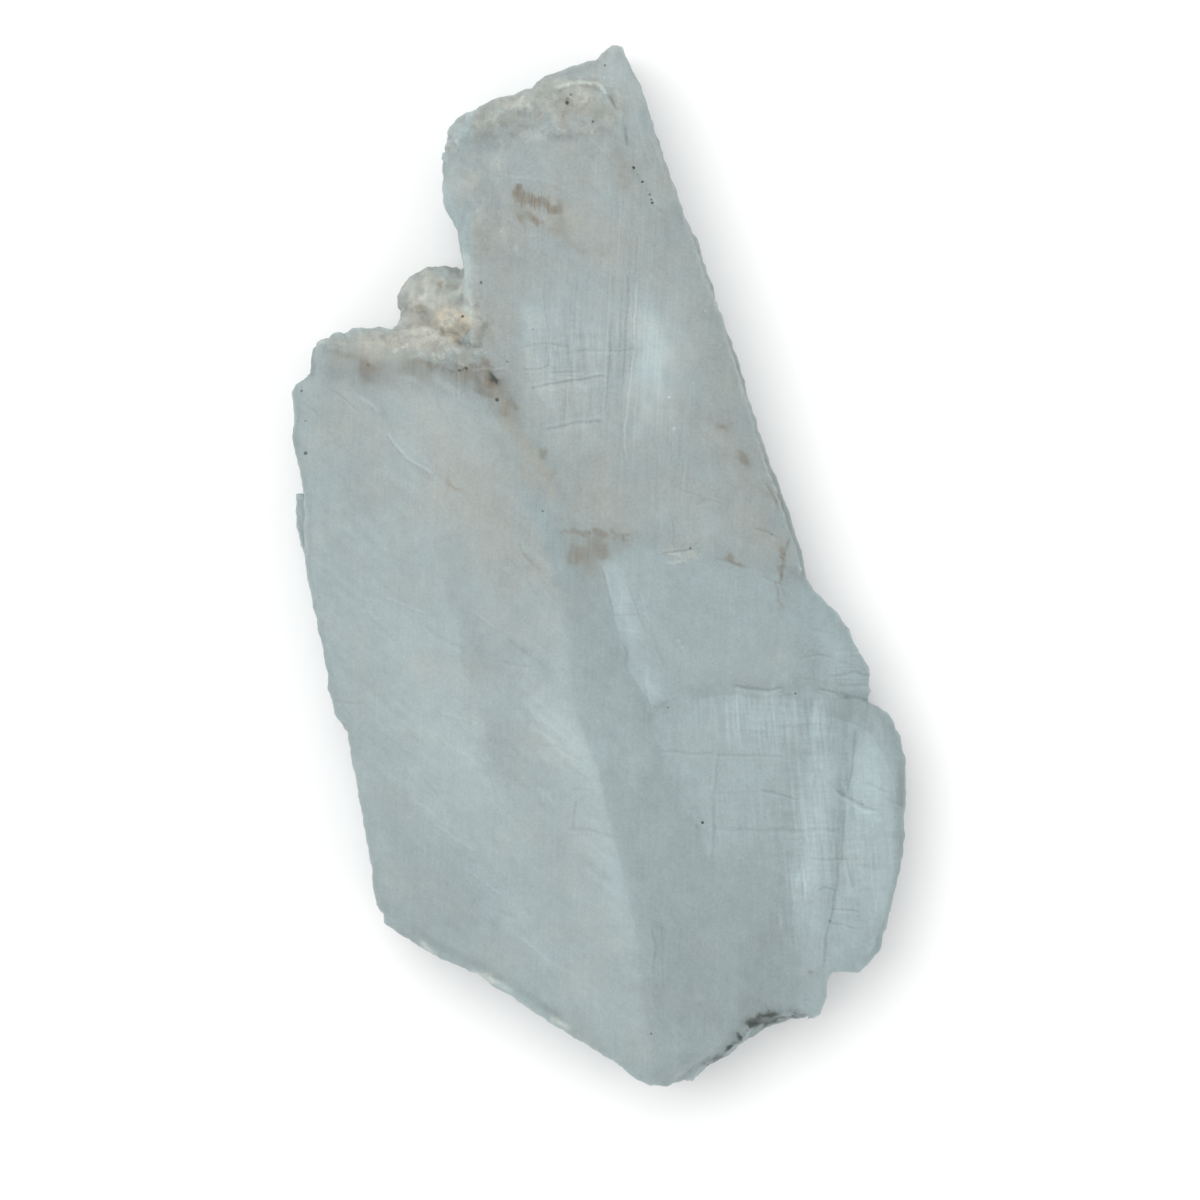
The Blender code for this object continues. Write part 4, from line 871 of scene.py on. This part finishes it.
def neighbourMean(mesh):
    # a function that gives the mean of a value over each point's neighbours
    ends = np.zeros(len(mesh.edges) * 2, dtype=np.int32)
    mesh.edges.foreach_get("vertices", ends)
    first, second = ends.reshape(-1, 2).T
    count = np.maximum(np.bincount(ends, minlength=len(mesh.vertices)), 1)

    def around(values):
        here = np.bincount(first, values[second], len(count))
        return (here + np.bincount(second, values[first], len(count))) / count

    return around


def rimDistance(places):
    # how far each point is from the slab's outline, seen from above
    cell = slab["outlineCell"]
    columns = np.floor(places[:, :2] / cell).astype(int)
    lowest = columns.min(axis=0) - 1
    covered = np.zeros(columns.max(axis=0) - lowest + 2, dtype=bool)
    covered[tuple((columns - lowest)[places[:, 2] > slab["wallLevel"]].T)] = True
    beside = covered[:-2, 1:-1] | covered[2:, 1:-1] | covered[1:-1, :-2] | covered[1:-1, 2:]
    outline = (np.argwhere(beside & ~covered[1:-1, 1:-1]) + 1 + lowest + 0.5) * cell
    finder = kdtree.KDTree(len(outline))
    for index, (x, y) in enumerate(outline):
        finder.insert((x, y, 0), index)
    finder.balance()
    return np.array([finder.find((x, y, 0))[2] for x, y, z in places])


def wornDown(mesh, rim):
    # the steps between the front plates, the knob's lumps and the soft joint worn down
    places = coordinates(mesh)
    around = neighbourMean(mesh)
    flat, height = places[:, :2], places[:, 2]
    steps = rise(height, *slab["wearLevel"]) * rise(rim, slab["rimStart"], slab["rimWidth"])
    knob = smooth(runSum(flat, crustRuns[:1])) * rise(height, *slab["knobLevel"])
    joint = smooth(patchSum(flat, slab["softJoint"])) * rise(height, *slab["jointLevel"])
    for name, share in (("wearRounds", steps), ("knobRounds", knob), ("jointRounds", joint)):
        for _ in range(slab[name]):
            for axis in range(3):
                places[:, axis] += slab["wearStep"] * share * (around(places[:, axis]) - places[:, axis])
    mesh.vertices.foreach_set("co", (places * mm).ravel())
    mesh.update()


def edgeLightGrooveShadeOf(mesh):
    # how far each point stands out from its neighbours: towards 1 on sharp edges, -1 in grooves. The
    # material uses it to paint sharp edges lighter, as painted light, and grooves darker, as painted shade
    places = coordinates(mesh)
    around = neighbourMean(mesh)
    normals = np.zeros(len(mesh.vertices) * 3)
    mesh.vertices.foreach_get("normal", normals)
    middle = np.stack([around(places[:, axis]) for axis in range(3)], axis=1)
    lift = ((places - middle) * normals.reshape(-1, 3)).sum(axis=1)
    for _ in range(slab["edgeShadeBlurs"]):
        lift = (lift + around(lift)) / 2
    return np.clip(lift / slab["edgeShadeUnit"], -1, 1)


marks = {   # how far the marks wander and how strongly the patterns show
    "wobble": 0.45,               # millimetres
    "lineWobble": 0.2,            # the share of the wobble that fine lines have
    "raggedness": 0.32,           # millimetres more for stains and dirt
    "leafDrift": (1.3, -1.1),     # patches are drawn out this far along the leaf's diagonal
    "bladeDrift": (0.0, 1.2),     # and up the blades
    "driftLeaf": (26.0, 12.0),    # the leaf's drift has gone at this height along the slab
    "driftRim": 4.0,              # and all drift fades towards the rim
    "veils": 0.026,
    "flecks": -0.07,
    "combed": 0.012,
    "haze": 0.014,
    "crustBlotch": 0.05,
    "knobBlotch": 0.02,
    "edge": -0.02,                # painted shade along the outline's bevel: its tone, how far in it lies and how it ends
    "edgePlace": 1.3,
    "edgeEnd": (1.2, 0.8),
    "speckStain": 0.30,
    "knobSpecks": 0.6,            # the share of the specks that the knob goes without
    "warmthCloud": 0.06,
    "crustWarmth": 0.10,
    "crustPale": 0.25,
}

plateLooks = {   # how much lighter and how much warmer each plate is; the leaf's lighter tone and the flank's darker one are painted light and shade of the two facets
    "leaf": (0.05, 0.10), "flank": (-0.01, 0.0), "blade": (-0.06, 0.26), "middle": (0.02, 0.0),
    "lower": (0.03, -0.06), "lobe": (0.11, -0.06), "window": (0.05, 0.0),
}

# what shows of a cloud: where it starts, over which spread, how strongly
cloudShows = {
    "lightVeil": (0.2, 0.35, 1.0), "darkVeil": (0.5, 0.3, -1.0), "bladeVeil": (0.5, 0.3, 0.8),
    "fleck": (1.9, 0.4, 1.0), "speck": (1.0, 0.5, 1.0), "blotch": (0.8, 1.0, 1.0),
}


def shown(values, name):
    start, spread, amount = cloudShows[name]
    return amount * rise(values, start, spread)


def cloudPair(places, first, second):
    return np.stack([cloud(places, first), cloud(places, second)], axis=1)


def platesOf(places, straight, shares):
    # each plate's share of every point, by name
    leaf, flank, upper, lower, lobe = shares
    middle = upper * below(straight, middleCrack, fades["middle"])
    blade = upper - middle
    right = 1 - besides(straight, windowRight, fades["joint"])
    window = blade * besides(straight, windowLeft, fades["window"]) * right
    window = window * rise(places[:, 1], *fades["windowLow"]) * fall(places[:, 1], *fades["windowHigh"])
    return {
        "leaf": leaf, "flank": flank, "blade": blade, "middle": middle, "lower": lower, "lobe": lobe,
        "window": window,
    }


def driftOf(places, leaf, combed, rim):
    # how the patches are drawn out: along the leaf's diagonal, and up the blades
    onLeaf = leaf * fall(places[:, 1], *marks["driftLeaf"]) * combed
    onBlades = (1 - leaf) * cloud(places, "drawn")
    drift = np.outer(onLeaf, marks["leafDrift"]) + np.outer(onBlades, marks["bladeDrift"])
    return drift * smooth(rim / marks["driftRim"])[:, None]


def toneOf(places, leaf, crust, knob, combed, blotch, rim):
    # the tone of veils, flecks and crust, and a darker band along the rim that is painted shade of its
    # bevel
    veils = shown(cloud(places, "lightVeil"), "lightVeil") * leaf
    veils += shown(cloud(places, "darkVeil"), "darkVeil") * leaf
    veils += shown(cloud(places, "bladeVeil"), "bladeVeil") * (1 - leaf)
    tone = marks["veils"] * veils + marks["flecks"] * shown(cloud(places, "fleck"), "fleck")
    tone += marks["combed"] * combed + marks["haze"] * cloud(places, "haze")
    tone += (marks["crustBlotch"] + marks["knobBlotch"] * knob) * crust * blotch
    # a darker band just inside the outline: painted shade of its bevel
    return tone + marks["edge"] * fall(np.abs(rim - marks["edgePlace"]), *marks["edgeEnd"])


def paint(mesh, rim):
    # where the marks, tones and line patterns lie, as attributes of the mesh
    places = coordinates(mesh)
    height = places[:, 2]
    wobble = marks["wobble"] * cloudPair(places, "wobbleAcross", "wobbleUp")
    straight = places[:, :2] + marks["lineWobble"] * wobble
    ragged = straight + marks["raggedness"] * cloudPair(places, "raggedAcross", "raggedUp")
    shares = plateShares(straight)
    plates = platesOf(places, straight, shares)
    combed, blotch = cloud(places, "combed"), cloud(places, "blotch")
    flat = places[:, :2] + wobble + driftOf(places, plates["leaf"], combed, rim)
    crust = runSum(straight, crustRuns) * rise(height, *slab["crustLevel"])
    knob = runSum(straight, crustRuns[:1])
    knobFront = runSum(places[:, :2], crustRuns[:1]) * rise(height, *slab["knobFront"])
    front = np.maximum(rise(height, *slab["frontLevel"]), knobFront)

    tone = patchSum(flat, tonePatches, shares) + lineSum(straight, softLines) + edgeSum(straight, edges)
    tone += toneOf(places, plates["leaf"], crust, knob, combed, blotch, rim)
    warmth = patchSum(flat, warmPatches, shares) + marks["warmthCloud"] * cloud(places, "warmth")
    warmth += marks["crustWarmth"] * crust * cloud(places, "crustWarmth")
    # each plate's tone; on the leaf and the flank this is painted light and shade
    for name, (lighter, warmer) in plateLooks.items():
        tone += lighter * plates[name]
        warmth += warmer * plates[name]
    specks = shown(cloud(places, "speck"), "speck") * crust * (1 - marks["knobSpecks"] * knob)
    stain = patchSum(ragged, stainPatches) + lineSum(ragged, stainLines) + marks["speckStain"] * specks
    pale = patchSum(ragged, palePatches) + lineSum(straight, paleLines)
    pale += marks["crustPale"] * crust * shown(blotch, "blotch")
    weave = patchSum(straight, weavePatches) * (plates["lower"] + plates["lobe"] + plates["window"])
    found = {
        "tone": tone, "warmth": warmth, "stain": stain, "pale": pale, "tan": patchSum(ragged, tanPatches),
        "weave": weave, "ridge": patchSum(straight, ridgePatches),
    }
    sharpEdges = [(1.0, *edge[1:]) for edge in edges]
    for name, lines in (("crack", cracks), ("thread", threads), ("edge", sharpEdges)):
        side, found[name + "_tone"] = lineFields(straight, lines)
        store(mesh, name + "_side", side)
    across, up, found["dot_dirt"] = dotFields(places[:, :2], dots)
    for name, values in found.items():
        store(mesh, name, values * front)
    store(mesh, "dot_across", across)
    store(mesh, "dot_up", up)
    store(mesh, "dirt", patchSum(ragged, dirtPatches) * rise(height, *slab["crustLevel"]))
    store(mesh, "crust", crust)
    # painted light on sharp edges and painted shade in grooves
    store(mesh, "edge_light_groove_shade", edgeLightGrooveShadeOf(mesh))


def buildSlab(material):
    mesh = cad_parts["selenite_slab"].data.copy()
    cleaner = bmesh.new()
    cleaner.from_mesh(mesh)
    bmesh.ops.remove_doubles(cleaner, verts=cleaner.verts, dist=slab["weld"] * mm)
    cleaner.to_mesh(mesh)
    cleaner.free()
    mesh.materials.clear()
    obj = newObject("slab_crystal", mesh)
    remesh = obj.modifiers.new("even_cells", "REMESH")
    remesh.mode = "SHARP"
    remesh.octree_depth = slab["depth"]
    remesh.scale = slab["filling"]
    relax = obj.modifiers.new("relax", "SMOOTH")
    relax.factor = slab["relaxing"]
    relax.iterations = 1
    baked(obj)
    withoutBack(obj.data)
    rim = rimDistance(coordinates(obj.data))
    wornDown(obj.data, rim)
    paint(obj.data, rim)
    print("slab worn and painted:", len(obj.data.vertices), "points")
    tree, keys = skinTree(material)
    runTree(obj, tree, keys, skin)
    return obj


# ---- material

milk = {
    # linear colours of the milky body and of what lies on it
    "cool": (0.385, 0.466, 0.477, 1.0),
    "warm": (0.452, 0.466, 0.425, 1.0),
    "cream": (0.622, 0.626, 0.556, 1.0),
    "tan": (0.530, 0.462, 0.350, 1.0),
    "brown": (0.250, 0.200, 0.138, 1.0),
    "dark": (0.045, 0.062, 0.050, 1.0),
    # fine straight lines: turn in degrees from +Y, spacing and length in millimetres, a shift
    "silk": (-3.0, 0.40, 9.0, 0.0),
    "ridgeLines": (-2.8, 0.36, 30.0, 11.0),
    "upright": (6.0, 0.45, 16.0, 23.0),
    "acrossLines": (91.0, 0.55, 5.0, 31.0),
    "striaeDepth": 40.0,
    "striaeNoise": (1.0, 0.7),    # detail and roughness
    # noise: size in millimetres, detail, roughness, shift
    "mottle": ((4.0, 4.0, 4.0), 5.0, 0.88, 0.0),
    "grain": ((0.34, 0.34, 0.34), 1.0, 0.7, 7.0),
    "lumpsPerMillimetre": 1.1,
    # how much each pattern adds to the light, which is 1 without them
    "light": {
        "mottle": 0.22, "grain": 0.17, "silk": 0.06, "ridge": 0.22, "upright": 0.32, "across": 0.20,
        # painted light on sharp edges and painted shade in grooves
        "edge_light_groove_shade": 0.08, "lumps": 0.24, "dot": -0.35,
    },
    # cores of marks: the amounts between which the core comes, its softer share and its crisp share
    "stainCore": (0.20, 0.40, 0.6, 0.30),
    "dirtCore": (0.45, 1.0, 0.5, 0.45),
    "paleCore": (0.18, 0.36, 0.6, 0.16),
    "coreGrain": 0.25,
    # fine lines: half width to where they are gone, their lip's strength, place and half width, their grain
    "lineWidth": 1.4,
    "lipStrength": 0.4,
    "lipPlace": 2.0,
    "lipWidth": 1.3,
    "lineGrain": 0.9,
    # steps: how crisp they are, and how far back their other side goes
    "stepWidth": 0.12,
    "stepBack": 0.8,
    "stepGrain": 0.25,
    "dotEdge": (1.6, 0.6),
    # warmth everywhere, and what the mottle and grain do to it and to the marks' colours
    "warmth": 0.12,
    "warmthMottle": 0.14,
    "tanLumps": (0.9, 0.6),
    "paleGrain": (0.9, 0.4),
    "stainLines": (1.0, 0.6),
    "dull": 0.42,
    "dullMottle": 0.20,
    "dullMarks": 0.25,
    "bumpSilk": 0.6,
    "bumpGrain": 0.4,
    "bump": {"Strength": 0.35, "Distance": 0.00006},
    "body": {
        "IOR": 1.52,
        "Transmission Weight": 0.4,
        "Subsurface Weight": 1.0,
        "Subsurface Radius": (1.0, 1.0, 1.0),
        "Subsurface Scale": 0.002,
    },
}


def striae(place, turn, spacing, length, shift):
    # fine straight lines, turn degrees from +Y; from -1 to 1
    turned = place.node(
        "ShaderNodeMapping", {"vector_type": "TEXTURE"},
        {"Vector": place, "Rotation": (0.0, 0.0, math.radians(turn)), "Location": (shift, shift, 0.0)},
    )
    return (noiseOf(turned, (spacing, length, milk["striaeDepth"]), *milk["striaeNoise"]) - 0.5) * 2.0


def seleniteMaterial():
    material = bpy.data.materials.new("selenite_milk")
    material.use_nodes = True
    tree = material.node_tree
    shader = tree.nodes["Principled BSDF"]
    start = Wire(tree)
    place = start.node("ShaderNodeTexCoord", out="Object").scaled(1 / mm)
    mottle = (noiseOf(place, *milk["mottle"]) - 0.5) * 2.0
    grain = (noiseOf(place, *milk["grain"]) - 0.5) * 2.0
    silk, ridgeLines = striae(place, *milk["silk"]), striae(place, *milk["ridgeLines"])
    lumps = start.node(
        "ShaderNodeTexVoronoi", {}, {"Vector": place, "Scale": milk["lumpsPerMillimetre"]}, out="Color",
    ).part(0) - 0.5

    def stored(name):
        return start.node("ShaderNodeAttribute", {"attribute_name": name}, out="Fac")

    def fineLine(name):
        # a crisp line with a lip of the other tone on its right
        side = stored(name + "_side") + milk["lineGrain"] * grain
        line = abs(side).between(milk["lineWidth"], 0.0)
        lip = abs(side + milk["lipPlace"]).between(milk["lipWidth"], 0.0)
        return stored(name + "_tone") * (line - milk["lipStrength"] * lip)

    def step():
        side = stored("edge_side") + milk["stepGrain"] * grain
        left = side.between(-milk["stepWidth"], milk["stepWidth"])
        return stored("edge_tone") * (left - side.between(-milk["stepBack"], milk["stepBack"]))

    def cored(name, low, high, soft, hard):
        # a soft mark with a crisp grainy core
        amount = stored(name)
        return soft * amount + hard * (amount + milk["coreGrain"] * grain).between(low, high)

    def varied(amount, share, swing, pattern):
        return amount * (share + swing * pattern)

    east, north = stored("dot_across"), stored("dot_up")
    dot = stored("dot_dirt") * (east * east + north * north + grain).between(*milk["dotEdge"])
    weave, crust = stored("weave"), stored("crust")
    stain, pale = cored("stain", *milk["stainCore"]), cored("pale", *milk["paleCore"])
    dirt = cored("dirt", *milk["dirtCore"]) + dot
    warmth = milk["warmth"] + stored("warmth") + milk["warmthMottle"] * mottle

    light = 1.0 + stored("tone") + fineLine("crack") + fineLine("thread") + step()
    patterns = {
        "mottle": mottle, "grain": grain, "silk": silk, "ridge": ridgeLines * stored("ridge"),
        "upright": striae(place, *milk["upright"]) * weave,
        "across": striae(place, *milk["acrossLines"]) * weave,
        # sharp edges lighter and grooves darker: painted light and shade
        "edge_light_groove_shade": stored("edge_light_groove_shade"), "lumps": lumps * crust, "dot": dot,
    }
    for name, share in milk["light"].items():
        light = light + share * patterns[name]

    colour = mixed(warmth.between(0.0, 1.0), milk["cool"], milk["warm"])
    colour = mixed(varied(stored("tan"), *milk["tanLumps"], lumps), colour, milk["tan"])
    colour = mixed(varied(pale, *milk["paleGrain"], grain), colour, milk["cream"])
    colour = mixed(varied(stain, *milk["stainLines"], ridgeLines), colour, milk["brown"])
    colour = mixed(dirt, colour, milk["dark"]).scaled(light)
    height = milk["bumpSilk"] * silk + milk["bumpGrain"] * grain
    bump = start.node("ShaderNodeBump", {}, {**milk["bump"], "Height": height})
    dull = milk["dull"] + milk["dullMottle"] * mottle + milk["dullMarks"] * (crust + stain)
    tree.links.new(colour.socket, shader.inputs["Base Color"])
    tree.links.new(dull.socket, shader.inputs["Roughness"])
    tree.links.new(bump.socket, shader.inputs["Normal"])
    setInputs(shader, milk["body"])
    print("selenite material:", len(tree.nodes), "nodes")
    return material


crystal = buildSlab(seleniteMaterial())
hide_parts("selenite_slab")
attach(crystal, "root")
print("slab surface:", len(crystal.data.polygons), "faces")
